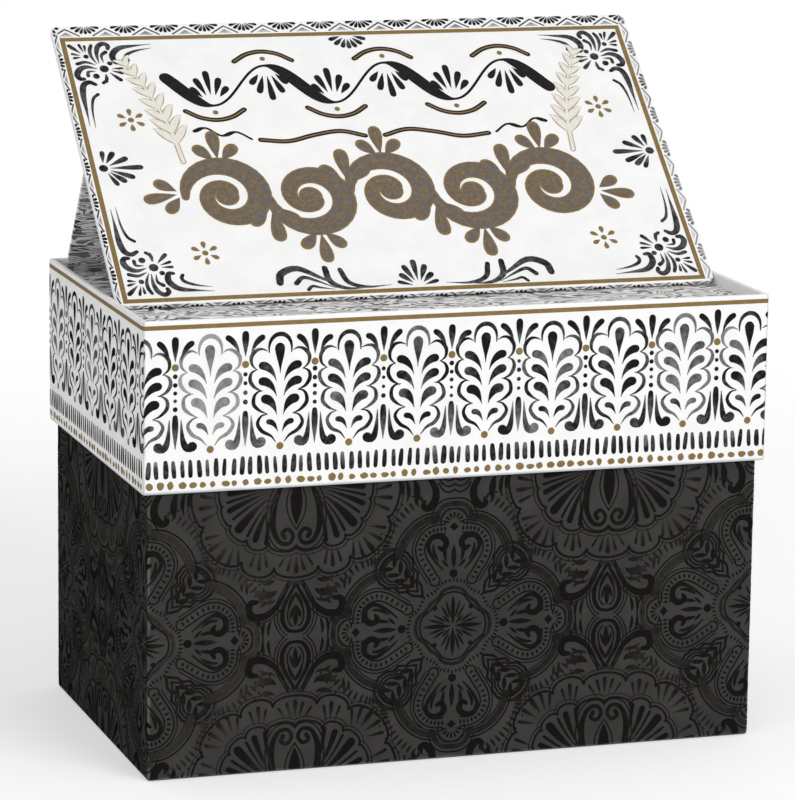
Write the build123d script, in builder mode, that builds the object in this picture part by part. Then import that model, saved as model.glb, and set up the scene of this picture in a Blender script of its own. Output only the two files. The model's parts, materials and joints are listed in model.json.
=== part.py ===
from build123d import *
import math
import os

# Recipe card box of wrapped greyboard: a deep base tray, a lift-off lid and, in the
# recess on top of the lid, a display panel that a hinged strut props up like an easel.
# Millimetres, +Z up, front towards -Y. The origin is the centre of the underside.
# The easel is modelled raised; both of its folds lie along X.

# Outline of the closed box
lid_width = 178.0
lid_depth = 106.0
box_height = 126.0
skirt_height = 46.7
corner_radius = 1.0

# Thickness of the papers, boards, tapes and magnets
wrap_paper = 0.15
lining_paper = 0.15
base_board_thickness = 1.5
lid_board_thickness = 1.2
deck_board_thickness = 1.5
strut_board_thickness = 0.8
panel_board_thickness = 1.5
stay_tape = 0.1
hinge_cloth = 0.1
magnet_thickness = 1.0

# Rounding of the board edges under the wrap
base_bottom_round = 0.6
base_mouth_round = 0.3
lid_edge_round = 0.3
panel_edge_round = 0.35
strut_edge_round = 0.2
panel_corner_radius = 2.0
strut_corner_radius = 1.5

# How far the papers are turned over, and the size of tapes and magnets
base_turn_in = 15.0
base_turn_under = 12.0
lid_turn_in = 12.0
easel_turn_in = 4.0
underside_margin = 3.5
stay_leg = 14.0
stay_end_margin = 2.0
hinge_leaf = 12.0
hinge_side_margin = 6.0
magnet_radius = 4.0
magnet_side_distance = 27.0
magnet_edge_distance = 6.0

# The raised easel: how steeply the panel and the strut stand, in degrees above the deck
panel_tilt = 41.3
strut_tilt = 54.8
strut_side_inset = 2.5

# Clearances
lid_slip = 0.35
lid_seat_gap = 0.05
panel_rim_gap = 0.4
strut_back_gap = 1.4
deck_fold_gap = 0.1
panel_fold_gap = 0.2
strut_tip_gap = 0.4
panel_foot_gap = 0.1

# Lid, from the rim down: the recess is as deep as the folded easel is thick
strut_thickness = strut_board_thickness + 2 * wrap_paper
panel_thickness = panel_board_thickness + 2 * wrap_paper
recess_depth = deck_fold_gap + strut_thickness + panel_fold_gap + panel_thickness
rim_width = lid_board_thickness + 2 * wrap_paper
lid_bottom = box_height - skirt_height
deck_top = box_height - recess_depth
deck_board_top = deck_top - lining_paper
deck_board_low = deck_board_top - deck_board_thickness
deck_lining_low = deck_board_low - lining_paper
lid_inner_width = lid_width - 2 * rim_width
lid_inner_depth = lid_depth - 2 * rim_width
wall_inner_width = lid_inner_width + 2 * wrap_paper
wall_inner_depth = lid_inner_depth + 2 * wrap_paper

# Base, from the table up: it slips into the lid and the deck rests on its edge
base_width = lid_inner_width - 2 * lid_slip
base_depth = lid_inner_depth - 2 * lid_slip
base_top = deck_lining_low - lid_seat_gap
base_wrap_low = lining_paper
base_board_low = base_wrap_low + wrap_paper
base_floor_top = base_board_low + base_board_thickness
tray_inner_width = base_width - 2 * (wrap_paper + base_board_thickness)
tray_inner_depth = base_depth - 2 * (wrap_paper + base_board_thickness)

# Easel linkage in the Y-Z plane. Folded flat, the panel's length up to its fold and the
# link from there to the strut's foot fill the recess; raised, the two legs are equally
# high. Both together set how far up the panel's back the strut is hinged.
panel_width = lid_inner_width - 2 * panel_rim_gap
panel_length = lid_inner_depth - 2 * panel_rim_gap
strut_width = panel_width - 2 * strut_side_inset
strut_foot_y = lid_inner_depth / 2 - strut_back_gap
strut_foot_z = deck_top + deck_fold_gap
tilt = math.radians(panel_tilt)
lean = math.radians(strut_tilt)
folded_reach = strut_foot_y + lid_inner_depth / 2 - panel_rim_gap
link_offset = strut_thickness + panel_fold_gap / 2
panel_fold_height = (
    folded_reach * math.sin(lean)
    + link_offset * math.cos(lean)
    + panel_fold_gap / 2 * math.cos(tilt)
    + deck_fold_gap
    - panel_foot_gap
) / (math.sin(lean) + math.sin(tilt))
link_length = folded_reach - panel_fold_height
strut_length = link_length - strut_tip_gap
fold_y = strut_foot_y - link_length * math.cos(lean) + link_offset * math.sin(lean)
fold_z = strut_foot_z + link_length * math.sin(lean) + link_offset * math.cos(lean)
panel_foot_y = fold_y - panel_fold_height * math.cos(tilt) - panel_fold_gap / 2 * math.sin(tilt)
panel_foot_z = fold_z - panel_fold_height * math.sin(tilt) + panel_fold_gap / 2 * math.cos(tilt)

# Local frames of the raised easel: the strut runs towards -y from its foot with its
# upper side towards +z; the panel runs towards +y from its foot, face towards +z
strut_plane = Plane(
    origin=(0, strut_foot_y, strut_foot_z),
    x_dir=(1, 0, 0),
    z_dir=(0, math.sin(lean), math.cos(lean)),
)
panel_plane = Plane(
    origin=(0, panel_foot_y, panel_foot_z),
    x_dir=(1, 0, 0),
    z_dir=(0, -math.sin(tilt), math.cos(tilt)),
)


def slab(plane, low, high, width, length, radius=0.0, centre_y=0.0):
    """Flat sheet from low to high above a plane, with its corners rounded by radius."""
    with BuildPart() as sheet:
        with BuildSketch(plane.offset(low)):
            with Locations((0, centre_y)):
                if radius > 0:
                    RectangleRounded(width, length, radius)
                else:
                    Rectangle(width, length)
        extrude(amount=high - low)
    return sheet.part


def softened_slab(plane, low, high, width, length, radius, edge_round, centre_y=0.0):
    """A slab whose two faces have rounded rims, as a board has under its wrap."""
    with BuildPart() as board:
        add(slab(plane, low, high, width, length, radius, centre_y))
        flat_faces = board.faces().filter_by(plane)
        fillet(flat_faces.edges(), edge_round)
    return board.part


def wall_ring(low, high, width, depth, radius, inner_width, inner_depth, edge_round):
    """Four upright walls in one ring, with rounded upper and lower edges."""
    with BuildPart() as ring:
        with BuildSketch(Plane.XY.offset(low)):
            RectangleRounded(width, depth, radius)
            Rectangle(inner_width, inner_depth, mode=Mode.SUBTRACT)
        extrude(amount=high - low)
        fillet(ring.faces().filter_by(Axis.Z).edges(), edge_round)
    return ring.part


def corner_stays(width, depth, radius, low, high):
    """Paper tapes round the four upright corners, pressed flush into the board."""
    stays = {}
    for row, side_y in (("front", -1), ("back", 1)):
        for side, side_x in (("left", -1), ("right", 1)):
            with BuildPart() as stay:
                with BuildSketch(Plane.XY.offset(low + stay_end_margin)):
                    RectangleRounded(width, depth, radius)
                    RectangleRounded(
                        width - 2 * stay_tape,
                        depth - 2 * stay_tape,
                        radius - stay_tape,
                        mode=Mode.SUBTRACT,
                    )
                    corner = (side_x * (width - stay_leg) / 2, side_y * (depth - stay_leg) / 2)
                    with Locations(corner):
                        Rectangle(stay_leg, stay_leg, mode=Mode.INTERSECT)
                extrude(amount=high - low - 2 * stay_end_margin)
            stays[f"{row}_{side}"] = stay
    return stays


def magnet_pair(plane, top, centre_y):
    """Two disc magnets side by side, their upper faces at height top above a plane."""
    side_place = panel_width / 2 - magnet_side_distance
    discs = {}
    for side, side_x in (("left", -1), ("right", 1)):
        with BuildPart() as disc:
            with BuildSketch(plane.offset(top - magnet_thickness)):
                with Locations((side_x * side_place, centre_y)):
                    Circle(magnet_radius)
            extrude(amount=magnet_thickness)
        discs[side] = disc
    return discs


def save(piece, name):
    """Label a finished piece and write it as its own STEP file."""
    piece.part.label = name
    export_step(piece.part, f"parts/{name}.step")


# ---- Base ----------------------------------------------------------------------

tray_outer_width = base_width - 2 * wrap_paper
tray_outer_depth = base_depth - 2 * wrap_paper
tray_top = base_top - wrap_paper
tray_radius = corner_radius - wrap_paper

base_corner_stays = corner_stays(
    tray_outer_width, tray_outer_depth, tray_radius, base_board_low, tray_top
)

# Greyboard tray, one scored blank folded up into a floor and four walls
with BuildPart() as tray_blank:
    with BuildSketch(Plane.XY.offset(base_board_low)):
        RectangleRounded(tray_outer_width, tray_outer_depth, tray_radius)
    extrude(amount=tray_top - base_board_low)
    fillet(tray_blank.faces().sort_by(Axis.Z)[0].edges(), base_bottom_round)
    with BuildSketch(Plane.XY.offset(base_floor_top)):
        Rectangle(tray_inner_width, tray_inner_depth)
    extrude(amount=tray_top - base_floor_top, mode=Mode.SUBTRACT)
    fillet(tray_blank.faces().sort_by(Axis.Z)[-1].edges(), base_mouth_round)

with BuildPart() as base_tray_board:
    add(tray_blank.part)
    for stay in base_corner_stays.values():
        add(stay.part, mode=Mode.SUBTRACT)

# Printed wrap: outside of the walls, over the top edge and down inside, and under the floor
with BuildPart() as base_wrap:
    with BuildSketch(Plane.XY.offset(base_wrap_low)):
        RectangleRounded(base_width, base_depth, corner_radius)
    extrude(amount=base_top - base_wrap_low)
    fillet(base_wrap.faces().sort_by(Axis.Z)[0].edges(), base_bottom_round + wrap_paper)
    with BuildSketch(Plane.XY.offset(base_floor_top)):
        Rectangle(tray_inner_width - 2 * wrap_paper, tray_inner_depth - 2 * wrap_paper)
    extrude(amount=base_top - base_floor_top, mode=Mode.SUBTRACT)
    fillet(base_wrap.faces().sort_by(Axis.Z)[-1].edges(), base_mouth_round + wrap_paper)
    with BuildSketch(Plane.XY.offset(base_floor_top)):
        Rectangle(tray_inner_width, tray_inner_depth)
    extrude(amount=base_top - base_turn_in - base_floor_top, mode=Mode.SUBTRACT)
    with BuildSketch(Plane.XY.offset(base_wrap_low)):
        Rectangle(base_width - 2 * base_turn_under, base_depth - 2 * base_turn_under)
    extrude(amount=wrap_paper, mode=Mode.SUBTRACT)
    add(tray_blank.part, mode=Mode.SUBTRACT)

# White lining on the floor, and round the walls up to the turned-in wrap
with BuildPart() as base_floor_lining:
    with BuildSketch(Plane.XY.offset(base_floor_top)):
        Rectangle(tray_inner_width, tray_inner_depth)
    extrude(amount=lining_paper)

with BuildPart() as base_wall_lining:
    with BuildSketch(Plane.XY.offset(base_floor_top + lining_paper)):
        Rectangle(tray_inner_width, tray_inner_depth)
        Rectangle(
            tray_inner_width - 2 * lining_paper,
            tray_inner_depth - 2 * lining_paper,
            mode=Mode.SUBTRACT,
        )
    extrude(amount=base_top - base_turn_in - base_floor_top - lining_paper)

# Sheet that the box stands on: it hides the turned-under wrap and fills inside it
with BuildPart() as base_underside_sheet:
    with BuildSketch(Plane.XY):
        Rectangle(base_width - 2 * underside_margin, base_depth - 2 * underside_margin)
    extrude(amount=base_wrap_low)
    with BuildSketch(Plane.XY.offset(base_wrap_low)):
        Rectangle(base_width - 2 * base_turn_under, base_depth - 2 * base_turn_under)
    extrude(amount=wrap_paper)

# ---- Lid -----------------------------------------------------------------------

ring_outer_width = lid_width - 2 * wrap_paper
ring_outer_depth = lid_depth - 2 * wrap_paper
ring_radius = corner_radius - wrap_paper
ring_low = lid_bottom + wrap_paper
ring_top = box_height - wrap_paper

lid_corner_stays = corner_stays(
    ring_outer_width, ring_outer_depth, ring_radius, ring_low, ring_top
)
lid_ring = wall_ring(
    ring_low,
    ring_top,
    ring_outer_width,
    ring_outer_depth,
    ring_radius,
    wall_inner_width,
    wall_inner_depth,
    lid_edge_round,
)

# Greyboard walls of the lid, standing up past the deck as a rim
with BuildPart() as lid_wall_board:
    add(lid_ring)
    for stay in lid_corner_stays.values():
        add(stay.part, mode=Mode.SUBTRACT)

# Printed wrap: over the rim down to the deck, and round the lower edge to the inside
with BuildPart() as lid_wrap:
    add(
        wall_ring(
            lid_bottom,
            box_height,
            lid_width,
            lid_depth,
            corner_radius,
            lid_inner_width,
            lid_inner_depth,
            lid_edge_round + wrap_paper,
        )
    )
    add(lid_ring, mode=Mode.SUBTRACT)
    with BuildSketch(Plane.XY.offset(lid_bottom + lid_turn_in)):
        Rectangle(wall_inner_width, wall_inner_depth)
    extrude(amount=deck_board_top - lid_bottom - lid_turn_in, mode=Mode.SUBTRACT)

# Magnets under the deck paper that hold the foot of the raised panel
deck_magnets = magnet_pair(
    Plane.XY, deck_board_top, panel_foot_y + magnet_edge_distance * math.cos(tilt)
)

# Cloth hinge of the strut, the half that is glued to the deck
hinge_length = strut_width - 2 * hinge_side_margin
with BuildPart() as deck_hinge_tape:
    with BuildSketch(Plane.XY.offset(deck_board_top - hinge_cloth)):
        with Locations((0, strut_foot_y - hinge_leaf / 2)):
            Rectangle(hinge_length, hinge_leaf)
    extrude(amount=hinge_cloth)

# Deck board, glued between the walls
with BuildPart() as lid_deck_board:
    with BuildSketch(Plane.XY.offset(deck_board_low)):
        Rectangle(wall_inner_width, wall_inner_depth)
    extrude(amount=deck_board_thickness)
    add(deck_hinge_tape.part, mode=Mode.SUBTRACT)
    for disc in deck_magnets.values():
        add(disc.part, mode=Mode.SUBTRACT)

with BuildPart() as lid_deck_paper:
    with BuildSketch(Plane.XY.offset(deck_board_top)):
        Rectangle(lid_inner_width, lid_inner_depth)
    extrude(amount=lining_paper)

with BuildPart() as lid_deck_lining:
    with BuildSketch(Plane.XY.offset(deck_lining_low)):
        Rectangle(wall_inner_width, wall_inner_depth)
    extrude(amount=lining_paper)

with BuildPart() as lid_wall_lining:
    with BuildSketch(Plane.XY.offset(lid_bottom + lid_turn_in)):
        Rectangle(wall_inner_width, wall_inner_depth)
        Rectangle(
            wall_inner_width - 2 * lining_paper,
            wall_inner_depth - 2 * lining_paper,
            mode=Mode.SUBTRACT,
        )
    extrude(amount=deck_lining_low - lid_bottom - lid_turn_in)

# ---- Strut ---------------------------------------------------------------------

strut_middle = -strut_length / 2
strut_board_low = wrap_paper
strut_board_top = wrap_paper + strut_board_thickness

# Cloth hinges on the strut: under its foot, and on its upper side at the tip
with BuildPart() as strut_foot_tape:
    with BuildSketch(strut_plane.offset(strut_board_low)):
        with Locations((0, -(hinge_leaf + strut_edge_round) / 2 - wrap_paper)):
            Rectangle(hinge_length, hinge_leaf - strut_edge_round)
    extrude(amount=hinge_cloth)

with BuildPart() as strut_tip_tape:
    with BuildSketch(strut_plane.offset(strut_board_top - hinge_cloth)):
        with Locations((0, -strut_length + wrap_paper + (hinge_leaf + strut_edge_round) / 2)):
            Rectangle(hinge_length, hinge_leaf - strut_edge_round)
    extrude(amount=hinge_cloth)

strut_core = softened_slab(
    strut_plane,
    strut_board_low,
    strut_board_top,
    strut_width - 2 * wrap_paper,
    strut_length - 2 * wrap_paper,
    strut_corner_radius - wrap_paper,
    strut_edge_round,
    strut_middle,
)

with BuildPart() as strut_board:
    add(strut_core)
    add(strut_foot_tape.part, mode=Mode.SUBTRACT)
    add(strut_tip_tape.part, mode=Mode.SUBTRACT)

# Patterned back sheet inside the turned-in edges of the wrap
with BuildPart() as strut_back_sheet:
    add(
        slab(
            strut_plane,
            strut_board_top,
            strut_thickness,
            strut_width - 2 * easel_turn_in,
            strut_length - 2 * easel_turn_in,
            0.0,
            strut_middle,
        )
    )

with BuildPart() as strut_wrap:
    add(
        softened_slab(
            strut_plane,
            0.0,
            strut_thickness,
            strut_width,
            strut_length,
            strut_corner_radius,
            strut_edge_round + wrap_paper,
            strut_middle,
        )
    )
    add(strut_core, mode=Mode.SUBTRACT)
    add(strut_back_sheet.part, mode=Mode.SUBTRACT)

# ---- Display panel -------------------------------------------------------------

panel_middle = panel_length / 2
panel_board_low = wrap_paper
panel_board_top = wrap_paper + panel_board_thickness

with BuildPart() as panel_hinge_tape:
    with BuildSketch(panel_plane.offset(panel_board_low)):
        with Locations((0, panel_fold_height + hinge_leaf / 2)):
            Rectangle(hinge_length, hinge_leaf)
    extrude(amount=hinge_cloth)

# Magnets set into the back of the panel near its foot
panel_magnets = magnet_pair(
    panel_plane, panel_board_low + magnet_thickness, magnet_edge_distance
)

panel_core = softened_slab(
    panel_plane,
    panel_board_low,
    panel_board_top,
    panel_width - 2 * wrap_paper,
    panel_length - 2 * wrap_paper,
    panel_corner_radius - wrap_paper,
    panel_edge_round,
    panel_middle,
)

with BuildPart() as panel_board:
    add(panel_core)
    add(panel_hinge_tape.part, mode=Mode.SUBTRACT)
    for disc in panel_magnets.values():
        add(disc.part, mode=Mode.SUBTRACT)

with BuildPart() as panel_back_sheet:
    add(
        slab(
            panel_plane,
            0.0,
            wrap_paper,
            panel_width - 2 * easel_turn_in,
            panel_length - 2 * easel_turn_in,
            0.0,
            panel_middle,
        )
    )

with BuildPart() as panel_wrap:
    add(
        softened_slab(
            panel_plane,
            0.0,
            panel_thickness,
            panel_width,
            panel_length,
            panel_corner_radius,
            panel_edge_round + wrap_paper,
            panel_middle,
        )
    )
    add(panel_core, mode=Mode.SUBTRACT)
    add(panel_back_sheet.part, mode=Mode.SUBTRACT)

# ---- Files ---------------------------------------------------------------------

os.makedirs("parts", exist_ok=True)

save(base_tray_board, "base_tray_board")
save(base_wrap, "base_wrap")
save(base_floor_lining, "base_floor_lining")
save(base_wall_lining, "base_wall_lining")
save(base_underside_sheet, "base_underside_sheet")
for place, stay in base_corner_stays.items():
    save(stay, f"base_corner_stay_{place}")

save(lid_wall_board, "lid_wall_board")
save(lid_deck_board, "lid_deck_board")
save(lid_wrap, "lid_wrap")
save(lid_deck_paper, "lid_deck_paper")
save(lid_deck_lining, "lid_deck_lining")
save(lid_wall_lining, "lid_wall_lining")
save(deck_hinge_tape, "deck_hinge_tape")
for place, stay in lid_corner_stays.items():
    save(stay, f"lid_corner_stay_{place}")
for side, disc in deck_magnets.items():
    save(disc, f"deck_magnet_{side}")

save(strut_board, "strut_board")
save(strut_wrap, "strut_wrap")
save(strut_back_sheet, "strut_back_sheet")
save(strut_foot_tape, "strut_foot_tape")
save(strut_tip_tape, "strut_tip_tape")

save(panel_board, "panel_board")
save(panel_wrap, "panel_wrap")
save(panel_back_sheet, "panel_back_sheet")
save(panel_hinge_tape, "panel_hinge_tape")
for side, disc in panel_magnets.items():
    save(disc, f"panel_magnet_{side}")

print(f"strut fold at y {strut_foot_y:.3f}, z {strut_foot_z:.3f}, {panel_fold_height:.3f} up the panel")
print(f"panel fold at y {fold_y:.3f}, z {fold_z:.3f}")
print(f"panel foot at y {panel_foot_y:.3f}, z {panel_foot_z:.3f}, strut length {strut_length:.3f}")
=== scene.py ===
import json
import math
import random
from collections import namedtuple

import bmesh
import bpy
import numpy as np
from mathutils import Matrix, Vector

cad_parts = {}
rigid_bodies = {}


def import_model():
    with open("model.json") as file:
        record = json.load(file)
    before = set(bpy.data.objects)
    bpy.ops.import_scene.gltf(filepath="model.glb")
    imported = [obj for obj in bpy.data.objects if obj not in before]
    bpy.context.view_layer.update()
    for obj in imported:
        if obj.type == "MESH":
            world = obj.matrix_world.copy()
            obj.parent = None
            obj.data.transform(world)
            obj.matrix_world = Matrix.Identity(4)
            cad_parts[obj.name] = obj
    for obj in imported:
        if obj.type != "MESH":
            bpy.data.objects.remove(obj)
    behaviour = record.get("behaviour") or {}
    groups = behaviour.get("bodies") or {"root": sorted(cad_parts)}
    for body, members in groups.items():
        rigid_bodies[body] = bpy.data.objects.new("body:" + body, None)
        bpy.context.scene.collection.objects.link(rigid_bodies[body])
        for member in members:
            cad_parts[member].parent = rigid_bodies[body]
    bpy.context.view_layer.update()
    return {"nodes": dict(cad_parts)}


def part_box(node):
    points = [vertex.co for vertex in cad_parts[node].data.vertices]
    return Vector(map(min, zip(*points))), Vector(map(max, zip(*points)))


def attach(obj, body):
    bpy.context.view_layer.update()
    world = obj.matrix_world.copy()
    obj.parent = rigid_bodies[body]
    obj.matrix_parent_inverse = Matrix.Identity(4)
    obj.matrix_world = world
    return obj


# Looks of a recipe card box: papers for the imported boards, and the printed ornament as thin
# sheets of ink that lie on them. A print is drawn flat in millimetres on an unrolled sheet,
# repeated by Geometry Nodes where it repeats, trimmed, and then laid on the paper it belongs to.
bl_info = {
    "name": "Recipe card box",
    "version": (1, 0, 0),
    "blender": (4, 5, 0),
    "location": "3D View > Sidebar > Card box",
    "description": "Papers, prints and stage for a recipe card box with an easel panel",
    "category": "Object",
}

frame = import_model()

MM = 0.001
FOLD_RADIUS = 1.0  # the paper's radius round the upright corners of lid and base, in mm
EDGE_SOFTNESS = 0.35  # the paper's radius over the edges of lid and panel, in mm
BAKE_MAP = "OFBake"
OVERPRINT = 0.042  # how far an ink lies above one under it, in mm: more than a drawing is high
FAR = 1e3  # mm, out of reach of the rubbed edges and painted shade at folds and rims
UNIT = (1, 1, 1)
WHITE = (1, 1, 1, 1)


def node_box(node):
    """Lowest and highest corner of a CAD node in millimetres."""
    low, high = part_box(node)
    return np.array(low) / MM, np.array(high) / MM


LID_LOW, LID_HIGH = node_box("lid_wrap")
BASE_LOW, BASE_HIGH = node_box("base_wrap")
LID_SIZE, BASE_SIZE = LID_HIGH - LID_LOW, BASE_HIGH - BASE_LOW


# A flat face of a CAD node, in millimetres; across, up and normal are directions
Face = namedtuple("Face", "foot across up normal width length")


def face_of(node, towards):
    """The largest flat face of a CAD node that looks in a direction."""
    mesh = frame["nodes"][node].data
    facing = [p for p in mesh.polygons if p.normal.dot(Vector(towards)) > 0.5]
    normal = np.array(max(facing, key=lambda p: p.area).normal)
    points = np.array([v.co for v in mesh.vertices]) / MM
    across = np.array((1.0, 0.0, 0.0))
    up = np.cross(normal, across)
    size = np.ptp(points @ across), np.ptp(points @ up)
    foot = up * (points @ up).min() + normal * (points @ normal).max()
    return Face(foot, across, up, normal, *size)


PANEL_FACE = face_of("panel_wrap", (0, -1, 1))
PANEL_WIDTH, PANEL_LENGTH = PANEL_FACE.width, PANEL_FACE.length
FOOT_FACE = face_of("panel_wrap", (0, -1, -1))
PANEL_CORNER = 2.0  # radius of the panel's corners, in mm


# ---------------------------------------------------------------- sizes and colours


def length(name, text, millimetres):
    return bpy.props.FloatProperty(
        name=name, description=text, default=millimetres * MM, unit="LENGTH", precision=5
    )


def count(name, text, number):
    return bpy.props.IntProperty(name=name, description=text, default=number, min=1)


def channels(code):
    """The sRGB values of a hex code."""
    return [int(code[i : i + 2], 16) / 255 for i in (1, 3, 5)]


def colour(name, text, code):
    """A colour property that holds the sRGB values of a hex code."""
    return bpy.props.FloatVectorProperty(
        name=name, description=text, default=channels(code), size=3, min=0, max=1,
        subtype="COLOR_GAMMA",
    )


def angle(name, text, degrees):
    return bpy.props.FloatProperty(
        name=name, description=text, default=math.radians(degrees), unit="ROTATION"
    )


def amount(name, text, value, unit="NONE"):
    return bpy.props.FloatProperty(name=name, description=text, default=value, unit=unit)


class CardBoxPapers(bpy.types.PropertyGroup):
    white: colour("White art paper", "Coated white paper of lid and panel", "#F1F1F0")
    charcoal: colour("Charcoal paper", "Printed ground of the base", "#363534")
    charcoal_edge: colour("Worn charcoal", "Where the print is rubbed at an edge", "#6A6967")
    # Painted shade as well as dirt: this bluish grey is laid on the white paper at its rounded
    # folds and lower edge, where it stands in for their shade.
    white_edge_dirt_and_shade: colour("Soiled and shaded white", "Handling dirt and painted shade at white paper's edges", "#A7AAB1")
    figure_dark: colour("Figure, dark", "Dark lines of the figured paper", "#2B2929")
    figure_grey: colour("Figure, grey", "Grey lines of the figured paper", "#8A888A")
    figure_light: colour("Figure, light", "Paper between the lines", "#F1F0F0")
    figure_band: length("Figure period", "Mean distance of the figured paper's lines", 2.4)
    lining: colour("Lining", "Uncoated lining paper", "#ECEBE6")
    board: colour("Greyboard", "Recycled board under the papers", "#8F897D")
    tape: colour("Stay tape", "Kraft tape on the board's corners", "#B79A6B")
    cloth: colour("Hinge cloth", "Book cloth of the hinges", "#232323")
    plating: colour("Magnet plating", "Nickel on the disc magnets", "#C9C6BF")


class CardBoxInks(bpy.types.PropertyGroup):
    lift: length("Print lift", "Height of an ink sheet above its paper", 0.03)
    black: colour("Brush black", "Ink of the brush strokes", "#1E1C1D")
    grey: colour("Brush grey", "The same ink where the brush ran thin", "#9C9C9D")
    pale: colour("Pale wash", "Ink of the panel's triangles", "#7C7C7D")
    lilac: colour("Lilac grey", "The same wash where it is thinnest", "#D0CFD1")
    gold: colour("Gold-brown", "Matt bronze ink of rules and dots", "#7F693F")
    bronze: colour("Bronze grey", "Fill of the panel's bold scrolls", "#665E57")
    cream: colour("Cream", "Pale sprigs on the panel", "#DEDACE")
    cream_edge: colour("Cream edge", "Outline of the pale sprigs", "#A89A82")
    damask: colour("Damask ink", "Ink on the charcoal paper, darker than it", "#171615")


class CardBoxLidBorder(bpy.types.PropertyGroup):
    long_first: length("First palmette, long wall", "From the wall's left corner", 18.2)
    long_pitch: length("Pitch, long wall", "From one palmette to the next", 19.25)
    short_first: length("First palmette, short wall", "From the wall's left corner", 11.0)
    short_pitch: length("Pitch, short wall", "From one palmette to the next", 19.9)
    foot: length("Palmette foot", "Height of a palmette's foot above the lid's lower edge", 11.6)
    dashes: count("Dashes", "How many dashes go round the lid", 241)
    dash_height: length("Dash height", "Mean height of a dash", 4.9)
    dash_middle: length("Dash middle", "Height of the dashes above the lower edge", 6.7)
    dots: count("Dots", "How many dots go round the lid", 191)
    dot_radius: length("Dot radius", "Mean radius of a dot", 0.9)
    dot_middle: length("Dot middle", "Height of the dots above the lower edge", 2.2)
    rule_width: length("Rule width", "Gold rule under the rim", 1.2)
    rule_drop: length("Rule drop", "From the rim to the middle of the gold rule", 1.8)


class CardBoxDamask(bpy.types.PropertyGroup):
    width: length("Repeat width", "From one medallion to the next", 89.7)
    height: length("Repeat height", "From one medallion to the one above it", 84.6)
    first: length("First medallion", "From the front left corner to a medallion's middle", 85.8)
    centre: length("Medallion height", "Height of a medallion's middle above the table", 37.6)
    outline: length("Outline", "Width of the thin outlines", 0.48)
    margin: length("Margin", "Bare paper at the upper and lower edge", 0.5)


class CardBoxPanelPrint(bpy.types.PropertyGroup):
    rule_width: length("Rule width", "Gold rule round the panel", 1.4)
    left_margin: length("Left margin", "From the panel's side to the rule", 2.6)
    right_margin: length("Right margin", "From the panel's side to the rule", 3.4)
    foot_margin: length("Foot margin", "From the panel's foot to the rule", 1.4)
    head_margin: length("Head margin", "From the panel's head to the rule", 5.2)
    pitch: length("Edging pitch", "From one daisy of the edging to the next", 11.7)
    side_pitch: length("Side pitch", "The same along the panel's sides", 12.95)


class CardBoxStage(bpy.types.PropertyGroup):
    azimuth: angle("Azimuth", "Camera's turn round the box", -18.256)
    elevation: angle("Elevation", "Camera's height above the horizon", 11.290)
    roll: angle("Roll", "Camera's turn about its own axis", 0.744)
    distance: length("Distance", "From the camera to the point it looks at", 1179.15)
    aim_side: length("Aim, sideways", "Point that the camera looks at", -0.98)
    aim_height: length("Aim, height", "Point that the camera looks at", 90.535)
    lens: amount("Focal length", "In millimetres, on a 36 mm sensor", 188.1)
    key: amount("Key lamp", "Soft lamp above the camera, on the right", 22.5, "POWER")
    fill: amount("Fill lamp", "Soft lamp on the left", 7.0, "POWER")
    ambient: amount("Surroundings", "Light of the white room", 0.58)


GROUPS = {
    "papers": CardBoxPapers,
    "inks": CardBoxInks,
    "lid_border": CardBoxLidBorder,
    "damask": CardBoxDamask,
    "panel_print": CardBoxPanelPrint,
    "stage": CardBoxStage,
}
PREFIX = "cardbox_"  # of each group's name in the scene


def settings(name):
    return getattr(bpy.context.scene, PREFIX + name)


# ---------------------------------------------------------------- nodes


def linear(srgb):
    """sRGB values from 0 to 1 as linear RGBA."""
    return [c / 12.92 if c <= 0.04045 else ((c + 0.055) / 1.055) ** 2.4 for c in srgb] + [1.0]


def put(tree, socket, value):
    """Gives an input its value, or links it to the output that feeds it."""
    if isinstance(value, bpy.types.NodeSocket):
        tree.links.new(value, socket)
    else:
        socket.default_value = value


def add_node(tree, kind, inputs=None, **options):
    """Adds one node with its options and its inputs, each a value or another node's output."""
    node = tree.nodes.new(kind)
    for name, value in options.items():
        setattr(node, name, value)
    for name, value in (inputs or {}).items():
        put(tree, node.inputs[name], value)
    return node


def new_finish(name):
    """An empty material, its tree, its Principled shader and its Object coordinates."""
    material = bpy.data.materials.new(name)
    material.use_nodes = True
    tree = material.node_tree
    tree.nodes.clear()
    surface = add_node(tree, "ShaderNodeBsdfPrincipled")
    add_node(tree, "ShaderNodeOutputMaterial", {"Surface": surface.outputs["BSDF"]})
    place = add_node(tree, "ShaderNodeTexCoord").outputs["Object"]
    return material, tree, surface, place


def dress(tree, surface, **inputs):
    """Gives a shader its inputs by name, with _ for a space."""
    for name, value in inputs.items():
        put(tree, surface.inputs[name.replace("_", " ")], value)


def per(millimetres):
    """Texture scale on Object coordinates at which one feature is that many millimetres."""
    return 1 / (millimetres * MM)


def times(shade, factor):
    """A colour made darker or lighter, as far as white."""
    return [min(1.0, c * factor) for c in shade]


def tint(tree, share, first, second):
    """A colour between two, by a share from 0 to 1. Either may be another node's output."""
    inputs = {"Factor": share}
    for index, value in ((6, first), (7, second)):
        inputs[index] = value if isinstance(value, bpy.types.NodeSocket) else linear(value)
    return add_node(tree, "ShaderNodeMix", inputs, data_type="RGBA").outputs[2]


def spread(tree, value, low, high, to_low=0.0, to_high=1.0):
    """A value moved from one range to another and held inside it."""
    return add_node(
        tree, "ShaderNodeMapRange",
        {"Value": value, "From Min": low, "From Max": high, "To Min": to_low, "To Max": to_high},
        interpolation_type="SMOOTHSTEP",
    ).outputs["Result"]


def sums(tree, operation, first, second=0.0):
    """One step of arithmetic."""
    return add_node(
        tree, "ShaderNodeMath", {0: first, 1: second}, operation=operation
    ).outputs[0]


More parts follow.
